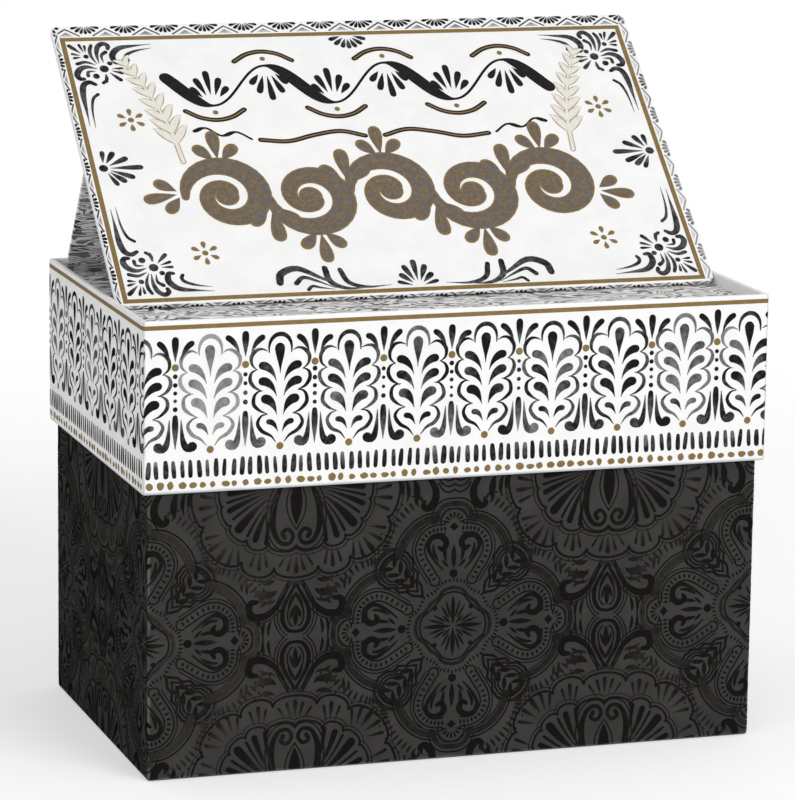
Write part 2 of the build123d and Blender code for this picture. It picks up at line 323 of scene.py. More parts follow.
def noise(tree, place, size, detail=4.0, roughness=0.6, distortion=0.0):
    """Noise with features of that many millimetres: by default the fine cloudy grain of
    pressed paper."""
    return add_node(
        tree, "ShaderNodeTexNoise",
        {
            "Vector": place, "Scale": per(size), "Detail": detail, "Roughness": roughness,
            "Distortion": distortion,
        },
    ).outputs["Fac"]


def clouded(tree, pattern, ground, factor):
    """A colour that goes with a noise pattern from the ground's to that times a factor."""
    return tint(tree, spread(tree, pattern, 0.3, 0.7), ground, times(ground, factor))


def press(tree, surface, height, depth):
    """Presses a height pattern into the shader's normal; depth in millimetres."""
    bump = add_node(tree, "ShaderNodeBump", {"Height": height, "Distance": depth * MM})
    dress(tree, surface, Normal=bump.outputs["Normal"])


# ---------------------------------------------------------------- finishes of papers and boards


def wrapped_paper(name, ground, edge_shade_and_wear, box, roughness, gloss):
    """Offset-printed art paper under a matt or soft-touch film, glued round greyboard.
    To the eye: even, faintly satin under the matt film and without any shine under the
    soft-touch one, a fibre grain only in raking light, and thin lines in the edge colour at the
    upright folds, at the rim's mitres and along the lower edge. At the folds and the lower edge
    they are rubbed wear where the board shows through and, on white paper, also painted shade of
    the rounded paper; at the mitres they are the seams. The box that it wraps is given by its
    size, its lower edge and its rim, in millimetres."""
    size, low, top = box
    material, tree, surface, place = new_finish(name)
    split = add_node(tree, "ShaderNodeSeparateXYZ", {"Vector": place}).outputs
    from_side, from_front = (
        sums(tree, "SUBTRACT", side / 2 * MM, sums(tree, "ABSOLUTE", split[axis]))
        for axis, side in zip("XY", size)
    )
    fold = sums(tree, "MAXIMUM", from_side, from_front)
    clouds = noise(tree, place, 9.0)
    ragged_fold = sums(tree, "ADD", fold, spread(tree, clouds, 0.3, 0.7, 0.0, 0.5 * MM))
    # Painted shade as well as wear: the edge colour is laid along the rounded upright folds, and on
    # white paper it stands in for their shade.
    fold_wear_and_shade = spread(tree, ragged_fold, 0.25 * MM, 1.1 * MM, 0.85, 0.0)
    rim = sums(tree, "SUBTRACT", top * MM, split["Z"])
    mitre = sums(tree, "ABSOLUTE", sums(tree, "SUBTRACT", from_side, from_front))
    on_rim = spread(tree, rim, 0.02 * MM, 0.4 * MM, 1.0, 0.0)
    by_fold = spread(tree, fold, 3.0 * MM, 3.2 * MM, 1.0, 0.0)
    seam = sums(
        tree, "MULTIPLY", spread(tree, mitre, 0.04 * MM, 0.16 * MM, 0.8, 0.0),
        sums(tree, "MULTIPLY", on_rim, by_fold),
    )
    # Painted shade as well as wear: the edge colour is laid along the lower edge, and on white
    # paper it stands in for the shade of its rounded turn.
    foot = sums(tree, "SUBTRACT", split["Z"], low * MM)
    ragged = sums(tree, "SUBTRACT", foot, sums(tree, "MULTIPLY", clouds, 0.6 * MM))
    hem_wear_and_shade = spread(tree, ragged, 0.0, 0.7 * MM, 0.7, 0.0)
    # The edge colour over the folds, the mitre seams and the lower edge: painted shade and wear
    # together.
    edge_marks_and_shade = sums(tree, "MAXIMUM", sums(tree, "MAXIMUM", fold_wear_and_shade, seam), hem_wear_and_shade)
    shade = tint(tree, spread(tree, clouds, 0.25, 0.75, 0.0, 0.12), ground, edge_shade_and_wear)
    grain = noise(tree, place, 0.35)
    dress(
        tree, surface, Base_Color=tint(tree, edge_marks_and_shade, shade, edge_shade_and_wear), Specular_IOR_Level=gloss,
        Roughness=spread(tree, grain, 0.2, 0.8, roughness - 0.06, roughness + 0.06),
    )
    press(tree, surface, sums(tree, "SUBTRACT", grain, sums(tree, "MULTIPLY", seam, 2.0)), 0.012)
    return material


def figured_paper(papers, piece, face, stretch):
    """White paper printed with a combed black and grey figure, like marbling or cut wood grain.
    To the eye: dense wavy bands that run across the box, tighter in some places than in others,
    with islands of white; uncoated, so it stays matt."""
    material, tree, surface, place = new_finish("combed figured paper of the " + piece)
    # The figure lies in the sheet, so its second direction is the way up the piece's face.
    split = add_node(tree, "ShaderNodeSeparateXYZ", {"Vector": place}).outputs
    rise, run = (
        sums(tree, "MULTIPLY", split[axis], face.up[index] / stretch)
        for axis, index in (("Z", 2), ("Y", 1))
    )
    down = sums(tree, "ADD", run, rise)
    wide = sums(tree, "MULTIPLY", split["X"], 0.3)
    sheet = add_node(tree, "ShaderNodeCombineXYZ", {"X": wide, "Y": down}).outputs["Vector"]
    swirl, drift = noise(tree, sheet, 4.5, 3.0, 0.4, 0.8), noise(tree, sheet, 26.0, 1.0, 0.5)
    turns = sums(
        tree, "ADD", sums(tree, "MULTIPLY", down, 1 / papers.figure_band),
        sums(tree, "ADD", sums(tree, "MULTIPLY", swirl, 9.0), sums(tree, "MULTIPLY", drift, 9.0)),
    )
    ring = sums(tree, "ABSOLUTE", sums(tree, "SUBTRACT", sums(tree, "FRACT", turns), 0.5))
    patch = spread(tree, noise(tree, sheet, 7.0), 0.35, 0.65)
    figure = tint(tree, patch, papers.figure_dark, papers.figure_grey)
    grain = noise(tree, place, 0.4)
    dress(
        tree, surface, Roughness=spread(tree, grain, 0.2, 0.8, 0.56, 0.7),
        Base_Color=tint(tree, spread(tree, ring, 0.18, 0.225), figure, papers.figure_light),
    )
    press(tree, surface, grain, 0.015)
    return material


def lining_paper(papers):
    """Uncoated wood-free paper, pasted inside the box.
    To the eye: soft warm white with a faint formation cloud, quite matt."""
    material, tree, surface, place = new_finish("uncoated lining paper")
    shade = clouded(tree, noise(tree, place, 3.0), papers.lining, 0.95)
    dress(tree, surface, Base_Color=shade, Roughness=0.82)
    press(tree, surface, noise(tree, place, 0.3), 0.02)
    return material


def plain_charcoal_paper(papers):
    """Solid-dyed kraft paper on the underside.
    To the eye: near black, matt, with a felt-side grain."""
    material, tree, surface, place = new_finish("charcoal kraft paper")
    shade = clouded(tree, noise(tree, place, 2.5), papers.charcoal, 1.15)
    dress(tree, surface, Base_Color=shade, Roughness=0.78)
    press(tree, surface, noise(tree, place, 0.5), 0.03)
    return material


def greyboard(papers):
    """Recycled binder's board, pressed from mixed pulp.
    To the eye: warm grey with darker and lighter flecks of old print, matt and a little hairy."""
    material, tree, surface, place = new_finish("recycled greyboard")
    pulp = noise(tree, place, 1.2)
    near = add_node(tree, "ShaderNodeTexVoronoi", {"Vector": place, "Scale": per(1.8)})
    flecks = spread(tree, near.outputs["Distance"], 0.05, 0.16, 0.8, 0.0)
    ground = clouded(tree, pulp, papers.board, 1.15)
    shade = tint(tree, flecks, ground, times(papers.board, 0.7))
    dress(tree, surface, Base_Color=shade, Roughness=0.88)
    press(tree, surface, pulp, 0.05)
    return material


def kraft_tape(papers):
    """Gummed kraft paper tape.
    To the eye: brown, machine-glazed, with fibres that run along the roll."""
    material, tree, surface, place = new_finish("gummed kraft tape")
    along = add_node(tree, "ShaderNodeMapping", {"Vector": place, "Scale": (1.0, 1.0, 0.2)})
    streaks = noise(tree, along.outputs["Vector"], 0.6)
    dress(tree, surface, Base_Color=clouded(tree, streaks, papers.tape, 0.85), Roughness=0.55)
    press(tree, surface, streaks, 0.01)
    return material


def book_cloth(papers):
    """Filled cotton book cloth, plain weave.
    To the eye: black with a fine regular thread grain and a dull sheen. The threads are drawn
    0.6 mm apart, about twice the real spacing, so that they show."""
    material, tree, surface, place = new_finish("plain weave book cloth")
    split = add_node(tree, "ShaderNodeSeparateXYZ", {"Vector": place}).outputs
    down = sums(tree, "SUBTRACT", split["Y"], split["Z"])
    waves = [
        sums(tree, "SINE", sums(tree, "MULTIPLY", axis, 2 * math.pi * per(0.6)))
        for axis in (split["X"], down)
    ]
    weave = sums(tree, "ABSOLUTE", sums(tree, "MULTIPLY", *waves))
    shade = tint(tree, weave, papers.cloth, times(papers.cloth, 1.5))
    dress(tree, surface, Base_Color=shade, Roughness=0.7, Sheen_Weight=0.2)
    press(tree, surface, weave, 0.05)
    return material


def nickel_plate(papers):
    """Nickel-plated sintered neodymium disc.
    To the eye: bright grey metal with a slightly rolled, satin surface."""
    material, tree, surface, place = new_finish("nickel plate")
    haze = noise(tree, place, 0.8)
    dress(
        tree, surface, Base_Color=clouded(tree, haze, papers.plating, 0.93), Metallic=1.0,
        Roughness=spread(tree, haze, 0.2, 0.8, 0.22, 0.34),
    )
    return material


# ---------------------------------------------------------------- finishes of inks


def brush_ink(name, dark, thin, roughness):
    """Offset ink of brush artwork, under the paper's film.
    To the eye: nearly black where the brush was full and grey where it ran dry, with a mottled
    edge between; each stroke carries its own thinness, and each repeat its own shift of it."""
    material, tree, surface, place = new_finish(name)
    wash, tone = (
        add_node(tree, "ShaderNodeAttribute", attribute_name=label).outputs["Fac"]
        for label in ("wash", "tone")
    )
    mottle = spread(tree, noise(tree, place, 1.6), 0.25, 0.75, -0.18, 0.18)
    dryness = sums(tree, "MULTIPLY", wash, sums(tree, "ADD", tone, 0.6))
    share = spread(tree, sums(tree, "ADD", dryness, mottle), 0.0, 1.2)
    dress(
        tree, surface, Base_Color=tint(tree, share, dark, thin), Roughness=roughness,
        Specular_IOR_Level=0.0,
    )
    return material


def flat_ink(name, shade, mottle=0.1):
    """Solid offset ink.
    To the eye: one even colour with a slight mottle where the paper took less of it."""
    material, tree, surface, place = new_finish(name)
    pale = [min(1.0, c + mottle * (1 - c)) for c in shade]
    share = spread(tree, noise(tree, place, 1.3), 0.35, 0.8)
    dress(
        tree, surface, Base_Color=tint(tree, share, shade, pale), Roughness=0.5,
        Specular_IOR_Level=0.03,
    )
    return material


def ink(name):
    """An ink of the box by its short name, made when it is first asked for."""
    inks = settings("inks")
    kind, *more = {
        "brush": (brush_ink, inks.black, inks.grey, 0.55),
        "pale brush": (brush_ink, inks.pale, inks.lilac, 0.55),
        "gold": (flat_ink, inks.gold),
        "bronze": (flat_ink, inks.bronze),
        "cream": (flat_ink, inks.cream, 0.3),
        "cream edge": (flat_ink, inks.cream_edge, 0.2),
        "black": (flat_ink, inks.black, 0.05),
        "damask": (brush_ink, inks.damask, times(inks.damask, 2.3), 0.45),
    }[name]
    title = name + " ink"
    return bpy.data.materials.get(title) or kind(title, *more)


# ---------------------------------------------------------------- drawing flat ink


def blend_of(points, t):
    """Bezier blend of control points, or of plain numbers, at the shares t."""
    points = np.asarray(points, float)
    n = len(points) - 1
    weights = np.array([math.comb(n, i) * t**i * (1 - t) ** (n - i) for i in range(n + 1)])
    return np.tensordot(weights.T, points, axes=1)


def bezier(*points, steps=8):
    return blend_of(points, np.linspace(0, 1, steps + 1))


def through(*points, steps=4):
    """A smooth Catmull-Rom line through the points."""
    p = np.array([points[0], *points, points[-1]], float)
    p[0], p[-1] = 2 * p[1] - p[2], 2 * p[-2] - p[-3]
    t = np.arange(steps)[:, None] / steps
    runs = [
        b + 0.5 * t * (c - a + t * (2 * a - 5 * b + 4 * c - d + t * (3 * (b - c) + d - a)))
        for a, b, c, d in zip(p, p[1:], p[2:], p[3:])
    ]
    return np.concatenate((*runs, p[-2:-1]))


def bow(start, end, rise, inset=0.1, steps=8):
    """A curve from start to end that swells to its left by rise."""
    start, end = np.array(start, float), np.array(end, float)
    way = end - start
    left = np.array((-way[1], way[0])) / np.linalg.norm(way) * rise * 4 / 3
    return bezier(start, start + way * inset + left, end - way * inset + left, end, steps=steps)


def ways_of(path):
    """Unit directions along a path."""
    along = np.gradient(np.asarray(path, float), axis=0)
    return along / np.linalg.norm(along, axis=1)[:, None]


def beside(path, distance):
    """The line that runs beside a path, to its left."""
    along = ways_of(path)
    return path + distance * np.stack((-along[:, 1], along[:, 0]), 1)


def round_about(x, y, radius, turns):
    """Points round a place, turned in radians from the x axis."""
    return np.stack((x + radius * np.cos(turns), y + radius * np.sin(turns)), 1)


def arc(x, y, radius, start, end, steps=12):
    """Points on a circle, angles in degrees from the x axis."""
    return round_about(x, y, radius, np.radians(np.linspace(start, end, steps + 1)))


def volute(x, y, outer, inner, start, turn, steps=30):
    """A spiral from its outer to its inner radius, angles in degrees from the x axis."""
    t = np.linspace(0, 1, steps + 1)
    radius = outer + (inner - outer) * t**1.3
    return round_about(x, y, radius, np.radians(start + turn * t))


def pen(hair, fat):
    """Widths of a pointed pen: a hairline that fattens on the way down."""
    return lambda along: hair + fat * np.clip(-along[:, 1], 0, 1) ** 1.4


class Drawing:
    """Ink strokes in millimetres on a flat sheet. wash is how thin the ink is, from 0 to 1.
    Each stroke climbs less than a micrometre and lies a micrometre above the one before, so
    that strokes may cross others and themselves. Every fortieth starts at the sheet again."""

    LAYER, LAYERS = 0.001, 40
    CLIMB = 0.8  # of a layer
    TIP = 0.15  # width of a thin end

    def __init__(self):
        self.points, self.faces, self.wash, self.strokes = [], [], [], 0

    def mark(self):
        """How much is drawn so far, to reflect only what follows."""
        return len(self.points), len(self.faces)

    def next_height(self):
        self.strokes += 1
        return self.LAYER * (self.strokes % self.LAYERS)

    def add(self, points, faces, wash):
        """Adds one stroke, on top of the others."""
        first, height = len(self.points), self.next_height()
        climb = self.LAYER * self.CLIMB / len(points)
        self.points += [(x, y, height + climb * i) for i, (x, y) in enumerate(points)]
        self.faces += [[first + i for i in face] for face in faces]
        self.wash += list(wash)

    def stroke(self, path, widths, wash=(0.0, 0.5)):
        """A brush stroke along path with round ends; widths and wash are blended from its start
        to its end, or the widths are a pen's."""
        path = np.asarray(path, float)
        steps = np.linalg.norm(np.diff(path, axis=0), axis=1)
        share = np.concatenate(([0.0], np.cumsum(steps))) / steps.sum()
        thin, along = blend_of(wash, share), ways_of(path)
        half = (widths(along) if callable(widths) else blend_of(widths, share)) / 2
        rows = [(path, half)]
        for index, way in ((0, -1), (-1, 1)):
            angles = np.radians((35, 65, 85) if half[index] > 0.2 else (85,))[::way]
            reach = half[index] * np.sin(angles)[:, None]
            cap = (path[index] + way * along[index] * reach, half[index] * np.cos(angles))
            rows.insert(len(rows) if way > 0 else 0, cap)
            ends = [np.repeat(v[index][None], len(angles), 0) for v in (along, thin)]
            along = np.concatenate((along, ends[0]) if way > 0 else (ends[0], along))
            thin = np.concatenate((thin, ends[1]) if way > 0 else (ends[1], thin))
        path, half = (np.concatenate(part) for part in zip(*rows))
        side = np.stack((-along[:, 1], along[:, 0]), 1) * half[:, None]
        points = np.stack((path - side, path + side), 1).reshape(-1, 2)
        faces = [(2 * i, 2 * i + 2, 2 * i + 3, 2 * i + 1) for i in range(len(path) - 1)]
        self.add(points, faces, np.repeat(thin, 2))

    def line(self, path, width, wash=0.2):
        """A stroke of one width."""
        self.stroke(path, (width,), (wash,))

    def leaf(self, start, end, width, rise=0.0, wash=(0.0, 0.3), steps=6):
        """A stroke that is thin at both ends."""
        self.stroke(bow(start, end, rise, steps=steps), (self.TIP, width * 1.9, self.TIP), wash)

    def drop(self, tip, head, width, rise=0.0, wash=(0.4, 0.0), steps=6):
        """A stroke that swells from a thin tip to a round head."""
        widths = (self.TIP, width * 0.5, width * 1.2, width)
        self.stroke(bow(tip, head, rise, steps=steps), widths, wash)

    def dot(self, x, y, radius, wash=0.0, sides=14):
        self.add(arc(x, y, radius, 0, 360, sides)[:-1], [range(sides)], [wash] * sides)

    def shape(self, *points, wash=0.0):
        self.add(points, [range(len(points))], np.broadcast_to(wash, len(points)))

    def copy_of(self, points, faces, wash):
        """Adds strokes that are already drawn, on top of the others."""
        offset, height = len(self.points), self.next_height()
        self.points += [(x, y, z + height) for x, y, z in points]
        self.faces += [[i + offset for i in face] for face in faces]
        self.wash += wash

    def reflect(self, since=(0, 0), x=None, y=None):
        """Draws what was drawn since a mark again, mirrored about the upright line x or the
        level line y."""
        first, face = since
        points = [
            (p if x is None else 2 * x - p, q if y is None else 2 * y - q, z)
            for p, q, z in self.points[first:]
        ]
        faces = [[i - first for i in f] for f in self.faces[face:]]
        self.copy_of(points, faces, self.wash[first:])

    def turned(self, other, degrees, x=0.0, y=0.0, scale=1.0):
        """Draws another drawing, turned and scaled about its origin and moved to x, y."""
        c, s = math.cos(math.radians(degrees)) * scale, math.sin(math.radians(degrees)) * scale
        points = [(x + c * a - s * b, y + s * a + c * b, z) for a, b, z in other.points]
        self.copy_of(points, other.faces, other.wash)

    def ray(self, kind, degrees, start, end, width, x=0.0, y=0.0, **more):
        """A leaf or a drop that points away from x, y, from start to end away from it."""
        single = Drawing()
        getattr(single, kind)((start, 0), (end, 0), width, **more)
        self.turned(single, degrees, x, y)

    def swapped(self, other):
        """Draws another drawing mirrored about the diagonal."""
        self.copy_of([(b, a, z) for a, b, z in other.points], other.faces, other.wash)

    def mesh(self, name):
        """The drawing as a flat mesh in metres, every face upwards."""
        points = np.array(self.points) * MM
        faces = []
        for face in self.faces:
            x, y = points[list(face), 0], points[list(face), 1]
            area = (x * np.roll(y, -1) - y * np.roll(x, -1)).sum()
            faces.append(list(face) if area > 0 else list(face)[::-1])
        mesh = bpy.data.meshes.new(name)
        mesh.from_pydata(points.tolist(), [], faces)
        wash = mesh.attributes.new("wash", "FLOAT", "POINT")
        wash.data.foreach_set("value", np.array(self.wash, np.float32))
        return mesh


def motif(drawing, name, group):
    """Puts a drawing in a collection of its own kind, which isn't shown."""
    found = bpy.data.collections.get(group) or bpy.data.collections.new(group)
    found.objects.link(bpy.data.objects.new(name, drawing.mesh(name)))
    return found


# ---------------------------------------------------------------- repeating and laying prints


def new_tree(name, inputs):
    """A Geometry Nodes tree with named inputs, what its input node gives, and for each input
    the identifier of its socket."""
    tree = bpy.data.node_groups.new(name, "GeometryNodeTree")
    sockets = {}
    for label, kind in inputs:
        sockets[label] = tree.interface.new_socket(
            name=label, in_out="INPUT", socket_type="NodeSocket" + kind
        ).identifier
    tree.interface.new_socket(name="Geometry", in_out="OUTPUT", socket_type="NodeSocketGeometry")
    given = add_node(tree, "NodeGroupInput").outputs
    return tree, given, sockets


def finish_tree(tree, given, points, **more):
    """Sets the collection's motifs on the points in turn, gives each its own tone, and makes the
    result a plain mesh with its material."""
    motifs = add_node(
        tree, "GeometryNodeCollectionInfo",
        {"Collection": given["Motifs"], "Separate Children": True, "Reset Children": True},
    )
    turn = add_node(tree, "GeometryNodeInputIndex").outputs[0]
    inputs = {
        "Points": points, "Instance": motifs.outputs[0], "Pick Instance": True,
        "Instance Index": sums(tree, "MODULO", turn, given["Kinds"]), **more,
    }
    placed = add_node(tree, "GeometryNodeInstanceOnPoints", inputs)
    tone = add_node(
        tree, "FunctionNodeRandomValue", {"Seed": given["Seed"]}, data_type="FLOAT"
    )
    toned = add_node(
        tree, "GeometryNodeStoreNamedAttribute",
        {"Geometry": placed.outputs[0], "Name": "tone", "Value": tone.outputs[1]},
        data_type="FLOAT", domain="INSTANCE",
    )
    plain = add_node(tree, "GeometryNodeRealizeInstances", {"Geometry": toned.outputs[0]})
    inked = add_node(
        tree, "GeometryNodeSetMaterial",
        {"Geometry": plain.outputs[0], "Material": given["Material"]},
    )
    add_node(tree, "NodeGroupOutput", {"Geometry": inked.outputs[0]})


def random_vector(tree, low, high, seed):
    """A random value for each point, or each motif, between two vectors."""
    return add_node(
        tree, "FunctionNodeRandomValue", {"Min": low, "Max": high, "Seed": seed},
        data_type="FLOAT_VECTOR",
    ).outputs[0]


def row_tree():
    """Motifs in a row: evenly spaced points, each moved, leaned and scaled a little."""
    tree, given, sockets = new_tree(
        "Printed row",
        [
            ("Motifs", "Collection"), ("Kinds", "Int"), ("Count", "Int"),
            ("Start", "Vector"), ("Step", "Vector"), ("Stray", "Vector"), ("Lean", "Vector"),
            ("Smallest", "Vector"), ("Largest", "Vector"), ("Seed", "Int"),
            ("Material", "Material"),
        ],
    )
    line = add_node(
        tree, "GeometryNodeMeshLine",
        {"Count": given["Count"], "Start Location": given["Start"], "Offset": given["Step"]},
    )
    backwards = {
        label: add_node(
            tree, "ShaderNodeVectorMath", {0: given[label], 1: (-1, -1, -1)},
            operation="MULTIPLY",
        ).outputs[0]
        for label in ("Stray", "Lean")
    }
    moved = add_node(
        tree, "GeometryNodeSetPosition",
        {
            "Geometry": line.outputs[0],
            "Offset": random_vector(tree, backwards["Stray"], given["Stray"], given["Seed"]),
        },
    )
    turned = random_vector(tree, backwards["Lean"], given["Lean"], given["Seed"])
    scaled = random_vector(tree, given["Smallest"], given["Largest"], given["Seed"])
    finish_tree(tree, given, moved.outputs[0], Rotation=turned, Scale=scaled)
    return tree, sockets


def sheet_tree():
    """Motifs in rows and columns over a sheet."""
    tree, given, sockets = new_tree(
        "Printed sheet",
        [
            ("Motifs", "Collection"), ("Kinds", "Int"), ("Columns", "Int"), ("Rows", "Int"),
            ("Width", "Float"), ("Height", "Float"), ("Centre", "Vector"), ("Seed", "Int"),
            ("Material", "Material"),
        ],
    )
    grid = add_node(
        tree, "GeometryNodeMeshGrid",
        {
            "Size X": given["Width"], "Size Y": given["Height"],
            "Vertices X": given["Columns"], "Vertices Y": given["Rows"],
        },
    )
    moved = add_node(
        tree, "GeometryNodeSetPosition",
        {"Geometry": grid.outputs[0], "Offset": given["Centre"]},
    )
    finish_tree(tree, given, moved.outputs[0])
    return tree, sockets


def grown(name, built, **values):
    """Runs a tree on an empty mesh and returns the result as one plain mesh."""
    tree, sockets = built
    maker = bpy.data.objects.new(name, bpy.data.meshes.new(name))
    bpy.context.scene.collection.objects.link(maker)
    modifier = maker.modifiers.new(tree.name, "NODES")
    modifier.node_group = tree
    values["Kinds"] = len(values["Motifs"].objects)
    for label, value in values.items():
        modifier[sockets[label]] = value
    bpy.context.view_layer.update()
    graph = bpy.context.evaluated_depsgraph_get()
    mesh = bpy.data.meshes.new_from_object(maker.evaluated_get(graph), depsgraph=graph)
    maker.modifiers.remove(modifier)
    bpy.data.objects.remove(maker)
    if not mesh.polygons:
        raise RuntimeError(f"{name}: the tree {tree.name} made nothing")
    return mesh


def printed_row(name, built, first, pitch, height, smallest=UNIT, largest=UNIT, **values):
    """A row of motifs along the unrolled sheet: where the first stands and their pitch in mm,
    and their height in metres. The rest goes to the tree."""
    return grown(
        name, built, Start=(first * MM, height, 0), Step=(pitch * MM, 0, 0), Smallest=smallest,
        Largest=largest, **values,
    )


def cut(mesh, keep=(), crease=()):
    """Trims a flat mesh to the inner side of each (point, outward direction) and splits its
    faces along each upright line in crease, in metres."""
    work = bmesh.new()
    work.from_mesh(mesh)

    def bisect(geometry, point, normal, clear):
        bmesh.ops.bisect_plane(
            work, geom=geometry, dist=1e-8, plane_co=point, plane_no=normal, clear_outer=clear
        )

    for point, outward in keep:
        bisect(work.verts[:] + work.edges[:] + work.faces[:], point, outward, True)
    for x in crease:
        near = []
        for face in work.faces:
            across = [corner.co.x for corner in face.verts]
            if min(across) < x < max(across):
                near.append(face)
        parts = {e for f in near for e in f.edges} | {v for f in near for v in f.verts}
        bisect(list(parts) + near, (x, 0, 0), (1, 0, 0), False)
    work.to_mesh(mesh)
    work.free()


def points_of(mesh):
    """A mesh's points in millimetres."""
    points = np.empty(len(mesh.vertices) * 3)
    mesh.vertices.foreach_get("co", points)
    return points.reshape(-1, 3) / MM


def map_flat(mesh):
    """Gives the mesh a UV map of its place on the flat sheet, inside the unit square."""
    flat = points_of(mesh)[:, :2]
    low, size = flat.min(0), np.ptp(flat, axis=0)
    corner = np.empty(len(mesh.loops), np.int32)
    mesh.loops.foreach_get("vertex_index", corner)
    layer = mesh.uv_layers.new(name=BAKE_MAP)
    layer.data.foreach_set("uv", ((flat - low) / size * 0.98 + 0.01)[corner].ravel())


def wall_length(side):
    """Length of one wall on the unrolled sheet, from the middle of one corner to the next."""
    return side - (2 - math.pi / 2) * FOLD_RADIUS


def sheet_length(size):
    """Length of the unrolled sheet round a box with rounded corners, in mm."""
    return 2 * (size[0] + size[1]) - (8 - 2 * math.pi) * FOLD_RADIUS


def corner_lines(size, start):
    """Where the unrolled sheet bends: five lines over each corner's arc, in metres, for a
    sheet that starts at that many mm from the middle of the front left corner."""
    bend = math.pi / 2 * FOLD_RADIUS
    sides = [size[0] - 2 * FOLD_RADIUS, size[1] - 2 * FOLD_RADIUS] * 2
    lines, at = [], bend / 2
    for side in sides:
        at += side
        lines += [at + bend * i / 4 for i in range(5)]
        at += bend
    whole = sheet_length(size)
    wrapped = [line + k * whole for line in lines for k in (-1, 0, 1)]
    return [x * MM for x in wrapped if start < x < start + whole]


def round_the_walls(flat, size, lift):
    """Points of an unrolled sheet laid round a box: x goes round from the middle of the front
    left corner to the right, y is height. In and out in mm."""
    r = FOLD_RADIUS
    bend = math.pi / 2 * r
    half = np.array((size[0] / 2 - r, size[1] / 2 - r))
    at = np.mod(flat[:, 0] - bend / 2, sheet_length(size))
    placed = np.zeros((len(flat), 3))
    placed[:, 2] = flat[:, 1]
    begin = 0.0
    for side in range(4):
        out = np.array(((0, -1), (1, 0), (0, 1), (-1, 0))[side], float)
        way = np.array((-out[1], out[0]))
        run = 2 * half[side % 2]
        centre = half * (out + way)
        turning = begin + run
        for first, last in ((begin, turning), (turning, turning + bend)):
            inside = (at >= first) & (at <= last)
            t = (at[inside] - first)[:, None]
            if first == turning:
                normal = out * np.cos(t / r) + way * np.sin(t / r)
                base = centre
            else:
                normal = np.repeat(out[None], len(t), 0)
                base = centre - way * (run - t)
            placed[inside, :2] = base + normal * (r + lift + flat[inside, 2][:, None])
        begin += run + bend
    return placed


def on_face(flat, face, lift):
    """Points of a flat sheet laid on a CAD face: x across from its middle, y up from its foot."""
    x, y, z = flat[:, :1], flat[:, 1:2], flat[:, 2:]
    return face.foot + x * face.across + y * face.up + (z + lift) * face.normal


def joined(name, meshes):
    """Several flat meshes as one."""
    work = bmesh.new()
    for mesh in meshes:
        work.from_mesh(mesh)
    whole = bpy.data.meshes.new(name)
    work.to_mesh(whole)
    work.free()
    return whole


def lay(name, mesh, placed, body, material):
    """Makes a print of a flat mesh: its flat place becomes its UV map, its points are moved to
    where it lies, and it rides on its body."""
    map_flat(mesh)
    mesh.vertices.foreach_set("co", (placed * MM).ravel())
    mesh.materials.clear()
    mesh.materials.append(material)
    mesh.polygons.foreach_set("material_index", np.zeros(len(mesh.polygons), np.int32))
    mesh.update()
    mesh.name = name
    piece = bpy.data.objects.new(name, mesh)
    bpy.context.scene.collection.objects.link(piece)
    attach(piece, body)


def lay_round(name, mesh, size, low, start, body, material):
    """Lays an unrolled print round the lid or the base."""
    cut(mesh, crease=corner_lines(size, start))
    placed = round_the_walls(points_of(mesh), size, settings("inks").lift / MM)
    placed[:, 2] += low
    lay(name, mesh, placed, body, material)


def lay_on_lid(name, mesh, paint):
    """Lays an unrolled print round the lid."""
    lay_round(name, mesh, LID_SIZE, LID_LOW[2], 0.0, "lid", ink(paint))


def lay_on_panel(name, mesh, paint, layer=0, face=PANEL_FACE):
    """Lays a flat print on a face of the panel, over so many other inks."""
    placed = on_face(points_of(mesh), face, settings("inks").lift / MM + layer * OVERPRINT)
    lay(name, mesh, placed, "panel", ink(paint))


# ---------------------------------------------------------------- ornaments of the lid


def palmette(seed):
    """A scalloped palmette round paired drops, its foot at the origin and 30 mm tall."""
    drawing, chance = Drawing(), random.Random(seed)
    thin = (0.1, 0.8, 0.12, 0.4, 0.0, 0.1, 0.3)[seed]  # how thin the brush ran in this one

    def near(value, by=0.15):
        return value + chance.uniform(-by, by)

    def wash():
        pair = [min(1.2, max(0.0, thin + chance.uniform(-0.4, 0.4))) for _ in range(2)]
        return sorted(pair, reverse=chance.random() < 0.5)

    lobes = (  # the right half of the scalloped outline, from the foot up
        ((1.1, 1.0), (2.6, 2.9), (4.9, 4.1), (6.2, 6.3), (5.2, 8.2), (3.4, 8.8)),
        ((3.6, 8.8), (5.4, 9.6), (7.3, 11.4), (7.3, 13.6), (6.2, 14.8), (4.8, 15.1)),
        ((5.1, 15.0), (7.1, 16.0), (8.3, 18.0), (7.9, 19.9), (6.3, 20.8)),
        ((6.3, 20.6), (7.8, 22.0), (8.0, 24.2), (6.7, 25.9), (5.0, 26.3), (3.5, 25.7)),
    )
    drops = (  # foot, near and far end from the middle, width
        (17.6, 1.1, 4.9, 2.2), (13.5, 1.0, 4.9, 2.3), (8.5, 0.9, 4.1, 2.5), (3.9, 0.6, 3.1, 1.5),
    )
    for side in (-1, 1):
        for points in lobes:
            run = [(side * near(x, 0.1), near(y, 0.1)) for x, y in points]
            drawing.stroke(through(*run, steps=3), (0.2, 0.7, 1.9, 0.7, 0.2), wash())
        for foot, x, out, fat in drops:
            rise = 4.2 if fat > 2 else 2.6
            run = (
                (x, foot), (x + 0.6, foot + rise * 0.55), (out - 1.4, foot + rise),
                (out, near(foot + rise)),
            )
            path = bezier(*[(side * a, b) for a, b in run], steps=8)
            drawing.stroke(path, (0.15, 0.4, fat * 1.2, fat), wash())
    arch = bezier((-3.1, 25.2), (-4.0, 31.8), (4.0, 31.8), (3.1, 25.2), steps=12)
    drawing.stroke(arch, (0.3, 0.8, 2.1, 0.8, 0.3), wash())
    drawing.stroke(bezier((0, 19.6), (0, 22.0), (near(0), 26.4)), (0.15, 0.3, 2.6, 2.8), wash())
    return drawing


